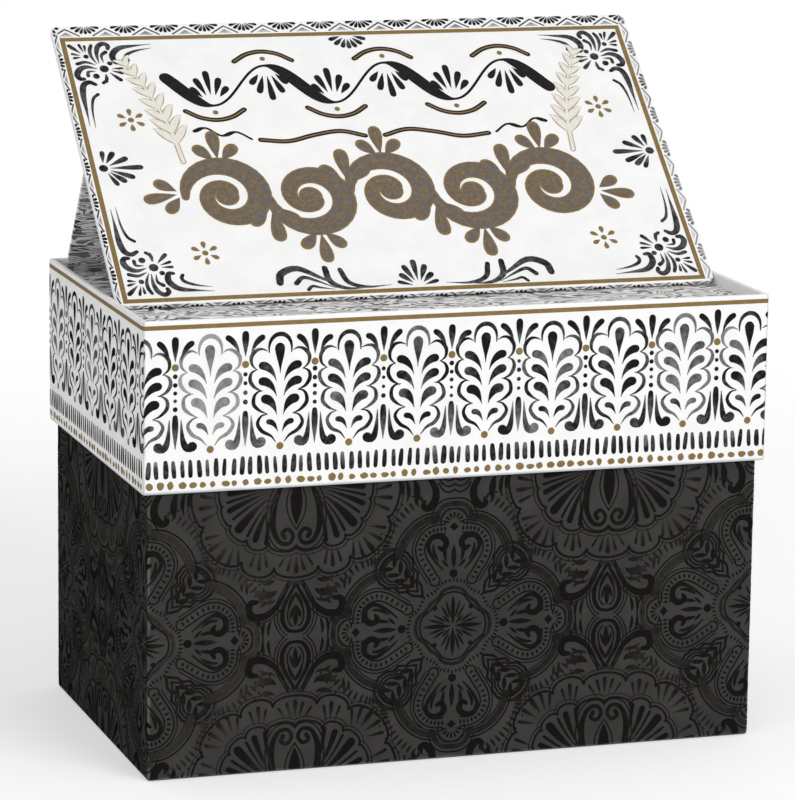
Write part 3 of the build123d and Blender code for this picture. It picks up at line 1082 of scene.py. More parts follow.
def fleuron(seed):
    """What stands between two palmettes: a trident, dots, a dart and two hooks."""
    drawing, chance = Drawing(), random.Random(seed)
    drawing.drop((0, 24.4), (0, 30.2), 1.9, wash=(0.3, 0.0))
    drawing.stroke(bezier((0, 0.4), (0, 6.0), (0, 9.2)), (0.15, 1.0, 2.5, 1.4), (0.5, 0.1))
    for side in (-1, 1):
        head = (side * chance.uniform(4.2, 4.8), chance.uniform(28.6, 29.5))
        path = bezier((side * 1.5, 24.4), (side * 1.9, 26.6), (side * 3.2, 28.6), head)
        drawing.stroke(path, (0.12, 0.4, 2.0, 1.6), (0.35, 0.0))
        bulb = (side * chance.uniform(4.2, 4.8), chance.uniform(1.0, 1.5))
        path = bezier((side * 1.6, 8.6), (side * 1.8, 4.0), (side * 2.0, -0.8), bulb, steps=10)
        drawing.stroke(path, (0.2, 0.9, 1.4, 2.7), (0.5, 0.0, chance.uniform(0.0, 0.5)))
    heights = (20.4, 18.0, 15.8, 13.7, 11.4) if seed % 2 else (19.6, 17.2, 14.7, 12.2)
    for height in heights:
        drawing.dot(0.0, height, chance.uniform(0.45, 0.7), chance.uniform(0.0, 0.2))
    return drawing


def dash(seed, height):
    """An upright brush mark, somewhat uneven in width."""
    drawing, chance = Drawing(), random.Random(seed)
    bend, half, wide = chance.uniform(-0.12, 0.12), height / 2 - 0.5, chance.uniform(0.95, 1.25)
    path = bezier((0, half), (bend, 0), (0, -half), steps=5)
    drawing.stroke(path, (wide * 0.8, wide * 1.25, wide), (chance.uniform(0.1, 0.5), 0.1))
    return drawing


def gold_spot(seed):
    """A dot of radius 1 with an uneven rim."""
    drawing, chance = Drawing(), random.Random(seed)
    lobes, turn = 2 + seed % 4, chance.uniform(0, math.pi)
    angles = np.linspace(0, 2 * math.pi, 17)[:-1]
    radius = 1 + 0.06 * np.sin(lobes * angles + turn)
    drawing.shape(*round_about(0, 0, radius, angles).tolist())
    return drawing


def band(low, high, start, end):
    """An even band along the unrolled sheet."""
    drawing = Drawing()
    drawing.shape((start, low), (end, low), (end, high), (start, high))
    return drawing


# ---------------------------------------------------------------- ornament of the base


def damask_star(line):
    """Star in a lobed frame at the medallion's heart, the part above and right of its centre."""
    drawing = Drawing()
    for degrees in (0, 90):
        drawing.ray("leaf", degrees, 0.6, 8.4, 1.3)
    for degrees, start, reach in (
        (16, 2.6, 7.4), (30, 2.4, 6.6), (60, 2.4, 6.6), (74, 2.6, 7.4), (45, 1.2, 4.2),
    ):
        drawing.ray("leaf", degrees, start, reach, 0.7, wash=(0.0, 0.5))
    drawing.dot(5.2, 5.2, 0.75, sides=8)
    half = Drawing()
    for grow, width, wash in ((-1.0, line, 0.1), (0.2, 1.0, 0.6)):
        corner = 6.3 + grow * 0.7
        run = through((10.6 + grow, 0), (9.9 + grow, 2.6), (7.8 + grow, 4.4), (corner, corner))
        half.line(run, width, wash)
    beads = through((12.9, 0), (12.2, 3.2), (10.0, 5.2), (8.4, 8.4), steps=3)
    for (x, y), (dx, dy) in zip(beads, ways_of(beads)):
        half.leaf((x - dy * 0.6, y + dx * 0.6), (x + dy * 0.6, y - dx * 0.6), 0.6, steps=2)
    drawing.turned(half, 0)
    drawing.swapped(half)
    return drawing


def damask_arm(line):
    """Upper half of the medallion's arm to the right: bead, drops, volute, toothed band and
    shell, inside a heavy scalloped edge."""
    drawing = Drawing()
    drawing.dot(14.7, 0, 1.2, sides=10)
    drawing.leaf((16.2, 0), (22.8, 0), 1.5)
    drawing.leaf((18.2, 2.1), (22.6, 2.5), 1.1, 0.3)
    drawing.leaf((16.6, 1.5), (18.6, 3.4), 0.8)
    curl = through(
        (15.9, 3.2), (18.8, 5.6), (22.3, 7.4), (24.9, 6.4), (25.3, 3.9), (23.6, 2.2), (21.6, 3.0),
        (22.2, 4.3),
    )
    drawing.stroke(curl, (0.4, 0.9, 0.9, 1.8, 2.6, 1.0), (0.3, 0.0))
    drawing.stroke(through((18.4, 4.4), (20.9, 5.7), (22.9, 5.9)), (0.3, 1.5, 0.5), (0.2, 0.2))
    teeth = through(
        (13.4, 5.6), (16.0, 7.2), (19.0, 9.0), (21.9, 9.7), (24.6, 8.9), (26.5, 7.0), (27.2, 4.8),
        (27.3, 2.6),
    )
    for distance, width in ((-1.3, line), (1.3, line), (2.2, line * 0.7)):
        drawing.line(beside(teeth, distance), width)
    drawing.line(arc(13.0, 5.4, 1.5, 70, 300, 8), line)
    for (x, y), (dx, dy) in list(zip(teeth, ways_of(teeth)))[::2]:
        drawing.leaf((x + dy * 0.7, y - dx * 0.7), (x - dy * 0.7, y + dx * 0.7), 0.75, steps=2)
    drawing.shape((26.6, 0), (29.0, 0), (27.8, 1.4))
    for degrees in (0, 28, 56, 84):
        drawing.ray("drop", degrees, 1.2, 2.6, 0.7, 28.9, 0, steps=2)
    drawing.line(arc(28.9, 0, 3.9, 0, 100, 8), line * 0.8)
    edge = through((34.2, 0), (34.0, 2.3), (32.7, 4.2), (30.4, 5.2), steps=3)
    sweep = through(
        (30.4, 5.0), (30.0, 8.0), (28.2, 11.2), (25.4, 13.8), (22.6, 15.2), (20.2, 15.9), steps=3
    )
    for path, width in ((edge, 1.5), (sweep, 1.9)):
        drawing.stroke(path, (width, width * 0.8, width), (0.5, 1.0, 0.5))
        drawing.line(beside(path, -1.5), line * 0.9, 0.1)
        drawing.line(beside(path, 1.3), line * 0.7, 0.4)
    rays = through((35.8, 9.4), (33.0, 13.6), (29.2, 17.0), (24.6, 19.2), (21.6, 19.4), steps=3)
    for (x, y), (dx, dy) in zip(rays, ways_of(rays)):
        left, right = (x - dy * 1.3, y + dx * 1.3), (x + dy * 1.3, y - dx * 1.3)
        drawing.leaf(left, right, 0.9, wash=(0.7, 0.3), steps=3)
        drawing.dot(x + dy * 2.2, y - dx * 2.2, 0.35, 0.3, sides=6)
    return drawing


def damask_leaf(line):
    """Veined leaf along the x axis, its tip towards the medallion's centre."""
    drawing = Drawing()
    side = (
        (12.4, 0.0), (14.9, 1.9), (16.8, 2.1), (18.2, 3.7), (20.3, 3.7), (21.6, 5.1), (24.2, 5.6),
        (27.0, 4.8), (28.6, 2.6), (29.0, 0.0),
    )
    middle = np.array((23.0, 0.0))
    for share, width in ((1.0, line * 1.6), (0.8, line * 1.2), (0.62, line * 1.2)):
        drawing.line([middle + (np.array(p) - middle) * share for p in side], width)
    for x in (16.4, 19.0, 21.6, 24.2):
        drawing.leaf((x, 0), (x + 2.8, 1.6 + (x - 14) * 0.18), 1.5, steps=3)
    drawing.stroke(arc(24.4, 0, 3.2, 0, 60, 6), (1.1, 0.4), (0.2,))
    drawing.line(arc(24.2, 0, 5.5, 0, 72, 6), line * 1.2, 0.7)
    drawing.reflect(y=0.0)
    return drawing


def damask_fan(line):
    """Half of a double shell fan that opens upwards from the origin, x from its middle."""
    drawing = Drawing()
    drawing.stroke(through((0, 0.5), (0, 6), (0, 11)), (2.0, 5.4, 0.4), (0.2, 0.0))
    drawing.line(through((1.6, 0.5), (2.7, 4.6), (2.2, 8.6), (0.0, 12.6)), line * 0.8)
    curl = through(
        (4.2, 0.5), (6.3, 5.6), (6.5, 11.8), (4.7, 15.8), (2.1, 16.4), (0.9, 14.4), (2.2, 12.5),
        (3.9, 13.3), (3.3, 14.7),
    )
    drawing.stroke(curl, (0.8, 2.6, 2.0, 1.3, 0.9, 0.9, 1.3), (0.1, 0.3))
    drawing.line(beside(curl, -1.7)[:22], line * 0.8)
    heads = (  # from the middle to the side: where each petal ends, and its width
        (8.4, 16.0, 1.2), (11.4, 14.8, 1.7), (13.6, 13.6, 0.8), (16.0, 11.6, 2.5), (17.6, 8.8, 0.8),
        (18.6, 6.4, 1.6), (19.2, 4.2, 0.8), (18.6, 1.8, 1.6),
    )
    for x, y, width in heads:
        foot, bend = (6.6 - y * 0.1, 0.4 + y * 0.16), (4.0 + x * 0.44, 0.4 + y * 0.44)
        path = bezier(foot, bend, (x, y), steps=7)
        drawing.stroke(path, (0.15, 0.25, width * 0.9, width), (0.9, 0.3, 0.0))
    inner = ((0.0, 17.2), (7.7, 15.9), (13.8, 14.8), (18.3, 10.6), (20.6, 5.3), (21.2, 0.0))
    outer = ((-6.2, 23.1), (6.2, 23.1), (15.2, 20.9), (25.8, 10.6), (28.4, 0.6))
    for cusps, rises, width in (
        (inner, (2.0, 2.4, 1.7, 1.1, 0.7), line * 1.3), (outer, (2.8, 3.2, 4.3, 1.8), line * 1.4),
    ):
        for a, b, rise in zip(cusps, cusps[1:], rises):
            lobe = bow(a, b, rise, 0.0, 10)
            drawing.stroke(lobe, (width,), (0.1, 0.5, 0.1))
            drawing.line(beside(lobe, 1.1)[1:-1], line * 0.6, 0.4)
    hubs = (  # each outer lobe's rays: hub, and for each ray its end and width
        ((0.0, 15.5), ((0.0, 24.2, 1.4), (2.3, 23.7, 1.0), (4.6, 22.4, 0.8))),
        ((9.6, 13.5), ((8.2, 22.3, 0.9), (10.4, 23.0, 1.3), (12.7, 21.9, 0.9))),
        (
            (16.0, 12.0),
            (
                (16.2, 20.6, 1.0), (18.9, 20.9, 1.1), (21.6, 19.4, 1.7), (23.9, 16.8, 1.3),
                (25.0, 13.6, 1.1),
            ),
        ),
        ((17.0, 4.4), ((25.9, 8.6, 1.1), (26.6, 5.4, 1.4), (26.4, 2.0, 1.2))),
    )
    for (x, y), rays in hubs:
        for a, b, width in rays:
            start = (x + (a - x) * 0.5, y + (b - y) * 0.5)
            drawing.drop(start, (a, b), width * 0.85, wash=(0.9, 0.3), steps=4)
    return drawing


def damask_quarter(line, wide, high):
    """The quarter of one damask repeat above and right of the medallion's centre, wide by high.
    Shell fans stand on its far corner, and the other three quarters mirror it."""
    drawing = Drawing()
    drawing.turned(damask_star(line), 0)
    arm = damask_arm(line)
    drawing.turned(arm, 0)
    drawing.swapped(arm)
    drawing.turned(damask_leaf(line), 45)
    drawing.turned(damask_fan(line), 180, wide, high)
    # Almonds on the right edge, with bars and leafed hooks beside them
    almond = through((0, 1.4), (-2.2, 2.0), (-3.7, 4.8), (-3.4, 8.4), (-1.6, 11.9), (0, 14.6))
    almond += np.array((wide, 0.0))
    drawing.stroke(almond, (0.8, 1.6, 1.2, 0.7), (0.0, 0.2))
    for distance in (1.3, 2.2):
        drawing.line(beside(almond, distance)[3:], line * 0.8)
    drawing.line(beside(almond, -1.5)[2:-1], line)
    for x, low, height in ((-2.1, 7.6, 12.4), (-1.5, 5.0, 8.8)):
        drawing.leaf((wide + x, low), (wide, height), 1.0, 0.2)
    drawing.leaf((wide, 3.0), (wide, 8.2), 1.5)
    for x in (7.4, 9.0, 10.7):
        drawing.leaf((wide - x, 0.5), (wide - x + 0.7, 5.0), 0.9, 0.5)
    hook = through(
        (33.9, 10.2), (32.2, 9.9), (31.6, 7.9), (33.0, 6.0), (36.3, 6.2), (39.5, 8.6), (41.8, 12.2),
        (42.9, 15.4),
    )
    drawing.stroke(hook, (1.2, 3.4, 1.8, 1.0, 0.4), (0.0, 0.2))
    drawing.line(beside(hook, -1.5)[10:], line * 0.8)
    for start, end, width, rise in (
        ((39.5, 13.2), (33.2, 13.8), 2.4, 1.5), ((38.9, 16.0), (34.4, 16.6), 1.4, 0.9),
        ((39.2, 10.6), (34.2, 11.2), 0.9, 1.1), ((31.2, 12.4), (30.9, 16.4), 0.9, 0.0),
        ((29.8, 13.4), (29.4, 16.2), 0.8, 0.0),
    ):
        drawing.leaf(start, end, width, rise, wash=(0.2, 0.8))
    # Brackets and hooks between two medallions, one above the other
    for i in range(3):
        low = 37.4 + 1.6 * i
        drawing.line(through((0, low + 0.7), (1.6, low), (3.4, low + 0.8), (4.6, low + 2.6)), line)
    hook = through(
        (8.6, 35.2), (8.9, 33.8), (7.4, 33.3), (5.6, 35.4), (5.5, 38.4), (6.9, 41.0), (7.6, high)
    )
    drawing.stroke(hook, (1.0, 3.2, 1.8, 1.2), (0.0, 0.2))
    for x, low, width in ((11.2, 34.6, 2.0), (13.6, 36.0, 1.2), (15.3, 37.4, 0.8)):
        drawing.leaf((x, low), (x + 0.6, high - 0.8), width, 0.7)
    return drawing


# ---------------------------------------------------------------- ornaments of the panel


def edging_unit(pitch, margin, thin):
    """One repeat of the edging outside the rule, for a margin from the rule to the paper's
    edge: half a daisy that hangs from the edge and, half a pitch on, a triangle under a roof."""
    strokes, triangles = Drawing(), Drawing()
    low, half = 1.2, pitch / 2
    heart, wash = 3.3 + 0.42 * margin, (0.5 + thin, thin)
    for degrees in range(-72, 73, 24):
        end = 3.1 + (degrees / 80) ** 2
        strokes.ray("drop", degrees - 90, 1.0, end, 0.95, 0.0, heart, wash=wash, steps=4)
    peak = low + 0.29 * margin
    triangles.shape(
        (half - 2.2, low), (half + 2.2, low), (half, peak), wash=(0.7 + thin, 0.7 + thin, thin)
    )
    for side in (-1, 1):
        roof = bezier((half + side * 3.8, low + 0.1), (half, low + 0.52 * margin), steps=1)
        strokes.line(roof, 0.5, 0.35 + thin)
    return strokes, triangles


def petals(drawing, x, y, runs, width=1.4):
    """Petals round a point: for each its direction in degrees, where it starts and ends."""
    for degrees, start, end in runs:
        tip = end - width * 0.4
        drawing.ray("drop", degrees, start, tip, width, x, y, wash=(0.6, 0.3))


def corner_spray():
    """A corner ornament for the lower left corner of the rule, which is its origin."""
    drawing = Drawing()
    for x, y, radius in ((10.1, 11.4, 1.35), (5.7, 6.6, 0.8), (12.1, 9.4, 0.8), (7.3, 14.1, 1.0)):
        drawing.dot(x, y, radius, 0.35)
    for x, y, runs, width in (
        (10.1, 11.4, ((92, 2.2, 5.2), (20, 2.2, 5.6), (0, 2.3, 5.6)), 0.9),
        (10.1, 11.4, ((47, 2.0, 6.4),), 1.25),
        (5.7, 6.6, ((254, 1.7, 5.0), (273, 1.7, 4.3), (196, 1.7, 4.3), (172, 1.5, 3.9)), 0.85),
        (5.7, 6.6, ((225, 1.8, 6.4),), 1.3),
    ):
        petals(drawing, x, y, runs, width)
    for widths, *points in (
        ((0.2, 0.9, 1.4, 1.0), (8.3, 9.4), (7.2, 6.6), (7.2, 4.2), (7.9, 2.4)),
        ((0.2, 1.3, 1.2), (7.8, 9.8), (5.2, 8.7), (2.7, 9.3)),
        (
            (0.2, 0.8, 1.6, 1.8, 1.6, 1.2),
            (9.0, 9.2), (8.9, 5.8), (9.7, 3.0), (11.4, 1.8), (12.7, 2.7), (12.5, 3.8),
        ),
        (
            (0.2, 1.0, 2.0, 2.2, 1.8, 1.2),
            (8.0, 11.3), (5.2, 10.5), (3.0, 11.4), (1.9, 13.4), (2.4, 14.9), (3.6, 15.0),
        ),
        ((0.2, 0.9, 1.3), (10.3, 9.0), (10.2, 6.4), (11.6, 5.1)),
        ((0.2, 1.0, 1.1), (7.4, 12.2), (5.3, 12.4), (5.0, 13.9)),
        ((0.2, 1.1, 1.1), (10.3, 13.5), (10.2, 15.4), (8.9, 16.7)),
        (
            (0.15, 0.3, 0.9, 2.6, 2.4, 1.0),
            (25.5, 2.4), (20.5, 2.9), (15.8, 3.7), (13.4, 6.3), (13.8, 9.0), (15.2, 9.1),
        ),
        (
            (0.1, 0.4, 0.9, 1.3, 1.0),
            (25.2, 3.9), (20.6, 4.8), (17.8, 6.1), (17.2, 7.4), (17.7, 8.4),
        ),
        (
            (0.15, 0.3, 0.9, 2.3, 2.2, 1.1),
            (2.0, 32.6), (2.1, 26.6), (2.2, 21.0), (3.0, 17.4), (4.8, 16.3), (6.5, 17.2),
        ),
        ((0.1, 0.4, 0.9, 1.0), (3.5, 33.4), (3.8, 26.8), (4.8, 22.6), (6.5, 20.9)),
    ):
        drawing.stroke(through(*points), widths, (0.7, 0.3))
    return drawing


def foot_scrolls():
    """Paired comma leaves either side of a small fan, to lie along the rule's foot."""
    drawing = Drawing()
    fan = (
        (90, 2.4, 9.4), (67, 2.4, 8.2), (113, 2.4, 8.2), (44, 2.2, 6.6), (136, 2.2, 6.6),
    )
    petals(drawing, 0, 0.6, fan, 1.7)
    petals(drawing, 0, 0.6, ((18, 2.0, 6.2), (162, 2.0, 6.2)), 1.2)
    since = drawing.mark()
    for widths, *points in (
        ((0.15, 0.5, 2.4, 1.7), (8.0, 1.6), (15.0, 1.2), (20.0, 3.0), (21.6, 7.6)),
        ((0.15, 0.6, 2.8, 2.0), (14.0, 1.0), (21.0, 1.0), (25.2, 3.6), (25.8, 8.4)),
        (
            (0.2, 0.6, 2.0, 3.2, 2.4),
            (20.5, 1.0), (27.0, 4.6), (33.6, 8.6), (38.6, 7.0), (39.6, 3.8),
        ),
        ((0.2, 0.5, 1.6, 1.8), (24.0, 1.2), (29.0, 4.0), (32.6, 5.4), (35.0, 3.4)),
        ((0.2, 0.4, 1.2, 1.2), (24.5, 0.8), (28.4, 1.6), (30.6, 2.2), (32.0, 1.0)),
    ):
        drawing.stroke(through(*points), [w * 0.85 for w in widths], (0.7, 0.3))
    drawing.reflect(since, x=0.0)
    return drawing


def scrollwork():
    """The panel's bold middle: a running scroll of five volutes, turned up and down in turn,
    with leaves between them. Returns its gold outlines, its bronze fills and the gold veins
    and barbs on them."""
    gold, bronze, veins = Drawing(), Drawing(), Drawing()
    outline = 1.1  # how much wider the gold is than the bronze on it

    def bold(path, widths):
        gold.stroke(path, [w + outline for w in widths], (0.0,))
        bronze.stroke(path, widths, (0.0,))
        half = blend_of(np.array(widths), np.linspace(0, 1, len(path))) / 2
        veins.line(path[1:-1], 0.3, 0.0)
        for (x, y), (dx, dy), reach in list(zip(path, ways_of(path), half))[2:-2:2]:
            for side in (-1, 1):
                out, on = reach * 0.62 * side, reach * 0.7
                veins.leaf((x, y), (x - dy * out + dx * on, y + dx * out + dy * on), 0.5, steps=2)

    def leaf(x, y, degrees, size):
        rim, fill, vein = Drawing(), Drawing(), Drawing()
        for turn, share in ((-42, 0.74), (42, 0.74), (0, 1.0)):
            for drawing, more in ((rim, outline), (fill, 0.0)):
                start, end = size * 0.2 - more / 3, size * share - 1.6 + more / 3
                drawing.ray("drop", turn, start, end, size * 0.24 + more)
        vein.leaf((size * 0.4, 0), (size * 0.86, 0), 0.6)
        for whole, part in ((gold, rim), (bronze, fill), (veins, vein)):
            whole.turned(part, degrees, x, y)

    pitch, radius = 24.0, 12.0
    for i in range(-2, 3):
        side, x = (-1 if i % 2 else 1), i * pitch
        leaf(x, side * (radius + 0.4), side * 90, 11.5)
        if i < 2:
            leaf(x + pitch / 2, -side * 2.6, -side * 90, 13.0)
        scroll = volute(x, side * 0.6, radius, 2.4, 180, -side * 500, 40)
        bold(scroll, (1.2, 5.6, 8.2, 6.0, 3.2, 2.6))
        for drawing, size in ((gold, 3.5), (bronze, 2.9)):
            drawing.dot(x, side * 0.6, size, sides=20)
        petals(veins, x, side * 0.6, [(turn, 0.5, 2.3) for turn in range(0, 360, 60)], 0.6)
    for side in (-1, 1):
        leaf(side * (2.5 * pitch + 0.6), side * -2.0, 90 - side * 100, 11.0)
    return gold, bronze, veins


def pen_strokes():
    """A black garland, drawn with a pointed pen, with leaves in its bends and even lines round
    it. Returns it and its gold: what is set in the even lines, and a dot in each bend."""
    drawing, inlay = Drawing(), Drawing()
    height, swing, pitch = 28.8, 7.3, 36.0
    x = np.linspace(-1.58 * pitch, 1.58 * pitch, 140)
    stem = np.stack((x, height + swing * np.sin(2 * np.pi * x / pitch)), 1)
    drawing.stroke(stem, pen(0.8, 4.6), (0.0,))
    foot = ((3.0, 8.6), (10.0, 10.6), (18.0, 9.4), (26.0, 7.4), (34.0, 8.2))
    lines = [[(side * x, y) for x, y in foot] for side in (-1, 1)]
    hood = ((-8.6, 1.8), (-4.6, 4.4), (0, 5.4), (4.6, 4.4), (8.6, 1.8))
    for i in range(-3, 3):
        up, x = (-1 if i % 2 else 1), (i + 0.5) * pitch / 2
        bend = height + up * swing
        fan = [(turn - up * 90, 4.2, 13.0 - abs(turn) / 9) for turn in range(-38, 39, 19)]
        petals(drawing, x, bend, fan, 1.9)
        lines.append([(x + dx, bend + up * dy) for dx, dy in hood])
        inlay.dot(x, bend + up * 2.6, 0.8)
    for points in lines:
        path = through(*points, steps=6)
        drawing.line(path, 1.6, 0.0)
        inlay.line(path, 0.45, 0.0)
    flourish = through((36.5, 8.6), (40.5, 11.4), (45.0, 10.2), (49.0, 13.2), (52.5, 12.2), steps=6)
    for side in (-1, 1):
        drawing.stroke(flourish * (side, 1), pen(0.7, 2.2), (0.0,))
    return drawing, inlay


def rosettes():
    """Four gold rosettes in the free places beside the scroll."""
    drawing = Drawing()
    for x, y in ((70, 17), (58.5, -32.0)):
        petals(drawing, x, y, [(turn, 1.6, 4.0) for turn in range(30, 390, 60)], 1.4)
        drawing.dot(x, y, 0.9)
    drawing.reflect(x=0.0)
    return drawing


def sprig():
    """A pale sprig of paired leaves on a stem, 50 mm long, upwards from the origin. Returns
    its outline and its fill."""
    rim, fill = Drawing(), Drawing()
    stem = through((0, 0), (1.8, 16), (1.2, 34), (-1.5, 50), steps=6)
    rim.stroke(stem, (2.2, 1.9, 1.1), (0.0,))
    fill.stroke(stem, (1.4, 1.1, 0.5), (0.0,))
    for i, ((x, y), (dx, dy)) in enumerate(list(zip(stem, ways_of(stem)))[3::2]):
        long = 12.0 - 0.8 * i
        for side in (-1, 1):
            on, out = (dx * 0.75 + side * dy * 0.55), (dy * 0.75 - side * dx * 0.55)
            end = (x + on * long, y + out * long)
            rim.leaf((x, y), end, 4.0 - i * 0.15, side * 0.9, wash=(0.0,))
            fill.leaf((x, y), end, 3.0 - i * 0.15, side * 0.9, wash=(0.0, 1.0))
    return rim, fill


# ---------------------------------------------------------------- operators


class CARDBOX_OT_papers(bpy.types.Operator):
    """Gives every packed board, paper, tape and magnet its finish"""

    bl_idname = "cardbox.papers"
    bl_label = "Papers and boards"

    def execute(self, context):
        papers = settings("papers")
        finishes = {
            # The white papers' edge colour is painted shade at their rounded folds and lower edge,
            # as well as dirt.
            "border_wrap": wrapped_paper(
                "matt film on white art paper", papers.white, papers.white_edge_dirt_and_shade,
                (LID_SIZE, LID_LOW[2], LID_HIGH[2]), 0.46, 0.5,
            ),
            "damask_wrap": wrapped_paper(
                "soft-touch film on charcoal art paper", papers.charcoal, papers.charcoal_edge,
                (BASE_SIZE, BASE_LOW[2], BASE_HIGH[2]), 0.6, 0.0,
            ),
            "panel_print": wrapped_paper(
                "matt film on white panel paper", papers.white, papers.white_edge_dirt_and_shade,
                ((PANEL_WIDTH, FAR), 0.0, FAR), 0.46, 0.5,
            ),
            "lid_deck_paper": figured_paper(
                papers, "deck", face_of("lid_deck_paper", (0, 0, 1)), 1.6
            ),
            "strut_wrap": figured_paper(papers, "strut", face_of("strut_wrap", (0, -1, -1)), 0.8),
            "panel_back_sheet": figured_paper(papers, "panel", PANEL_FACE, 0.8),
            "white_lining": lining_paper(papers),
            "charcoal_paper": plain_charcoal_paper(papers),
            "greyboard": greyboard(papers),
            "stay_tape": kraft_tape(papers),
            "hinge_cloth": book_cloth(papers),
            "magnet": nickel_plate(papers),
        }
        # A node with the figured slot takes the paper cut for that piece.
        finishes["strut_back_sheet"] = finishes["strut_wrap"]
        for name, node in frame["nodes"].items():
            for slot in node.material_slots:
                usual = slot.material.name.split(".")[0]
                slot.material = finishes[name if usual == "figured_paper" else usual]
        return {"FINISHED"}


def lid_marks():
    """For each wall of the lid, whose artwork stops at its corners: where it starts and ends on
    the unrolled sheet, its first palmette, their pitch, all in mm, and how many there are. A
    fleuron stands half a pitch before each palmette."""
    border, start = settings("lid_border"), 0.0
    for i in range(4):
        end = start + wall_length(LID_SIZE[i % 2])
        first, pitch = (
            (border.short_first / MM, border.short_pitch / MM) if i % 2
            else (border.long_first / MM, border.long_pitch / MM)
        )
        first -= pitch * math.ceil(first / pitch)
        yield start, end, start + first, pitch, math.ceil((end - start) / pitch) + 2
        start = end


class CARDBOX_OT_lid_frieze(bpy.types.Operator):
    """Prints the palmettes and fleurons round the lid"""

    bl_idname = "cardbox.lid_frieze"
    bl_label = "Lid frieze"

    def execute(self, context):
        border = settings("lid_border")
        for seed in range(7):
            palmettes = motif(palmette(seed), f"palmette {seed}", "palmettes")
            fleurons = motif(fleuron(seed), f"fleuron {seed}", "fleurons")
        rows, tree = [], row_tree()
        for start, end, first, pitch, number in lid_marks():
            for group, at in ((palmettes, first), (fleurons, first - pitch / 2)):
                row = printed_row(
                    "frieze row", tree, at, pitch, border.foot, (1, 0.985, 1), (1, 1.015, 1),
                    Motifs=group, Count=number, Seed=7 + len(rows), Material=ink("brush"),
                )
                cut(row, keep=[((start * MM, 0, 0), (-1, 0, 0)), ((end * MM, 0, 0), (1, 0, 0))])
                rows.append(row)
        lay_on_lid("lid_frieze", joined("lid_frieze", rows), "brush")
        return {"FINISHED"}


class CARDBOX_OT_lid_dashes(bpy.types.Operator):
    """Prints the row of upright dashes round the lid"""

    bl_idname = "cardbox.lid_dashes"
    bl_label = "Lid dashes"

    def execute(self, context):
        border = settings("lid_border")
        step = sheet_length(LID_SIZE) / border.dashes
        for seed in range(11):
            group = motif(dash(seed, border.dash_height / MM), f"dash {seed}", "dashes")
        mesh = printed_row(
            "lid_dashes", row_tree(), step / 2, step, border.dash_middle, (0.95, 0.95, 1),
            (1.2, 1.05, 1), Motifs=group, Count=border.dashes,
            Stray=(0.25 * MM, 0.15 * MM, 0.01 * MM), Lean=(0, 0, math.radians(6)), Seed=3,
            Material=ink("brush"),
        )
        lay_on_lid("lid_dashes", mesh, "brush")
        return {"FINISHED"}


class CARDBOX_OT_lid_gold(bpy.types.Operator):
    """Prints the gold rule under the rim, the gold beads and the row of gold dots"""

    bl_idname = "cardbox.lid_gold"
    bl_label = "Lid gold"

    def execute(self, context):
        border = settings("lid_border")
        whole = sheet_length(LID_SIZE)
        for seed in range(7):
            group = motif(gold_spot(seed), f"spot {seed}", "gold spots")
        step, radius = whole / border.dots, border.dot_radius / MM
        small, large = radius * 0.78, radius * 1.3
        mesh = printed_row(
            "lid_gold_dots", row_tree(), step / 2, step, border.dot_middle, (small, small, 1),
            (large, large, 1), Motifs=group, Count=border.dots,
            Stray=(0.4 * MM, 0.15 * MM, 0.01 * MM), Seed=11, Material=ink("gold"),
        )
        lay_on_lid("lid_gold_dots", mesh, "gold")
        # A bead under each palmette and one high on each fleuron, none on a corner
        beads, foot, clear = Drawing(), border.foot / MM, 1.5
        for start, end, first, pitch, number in lid_marks():
            for i in range(number):
                for x, y in ((first + i * pitch, 0.0), (first + (i - 0.5) * pitch, 22.5)):
                    if start + clear < x < end - clear:
                        beads.dot(x, foot + y, 1.0)
        lay_on_lid("lid_gold_beads", beads.mesh("lid_gold_beads"), "gold")
        middle, half = LID_SIZE[2] - border.rule_drop / MM, border.rule_width / MM / 2
        rule = band(middle - half, middle + half, 0.0, whole).mesh("lid_gold_rule")
        lay_on_lid("lid_gold_rule", rule, "gold")
        return {"FINISHED"}


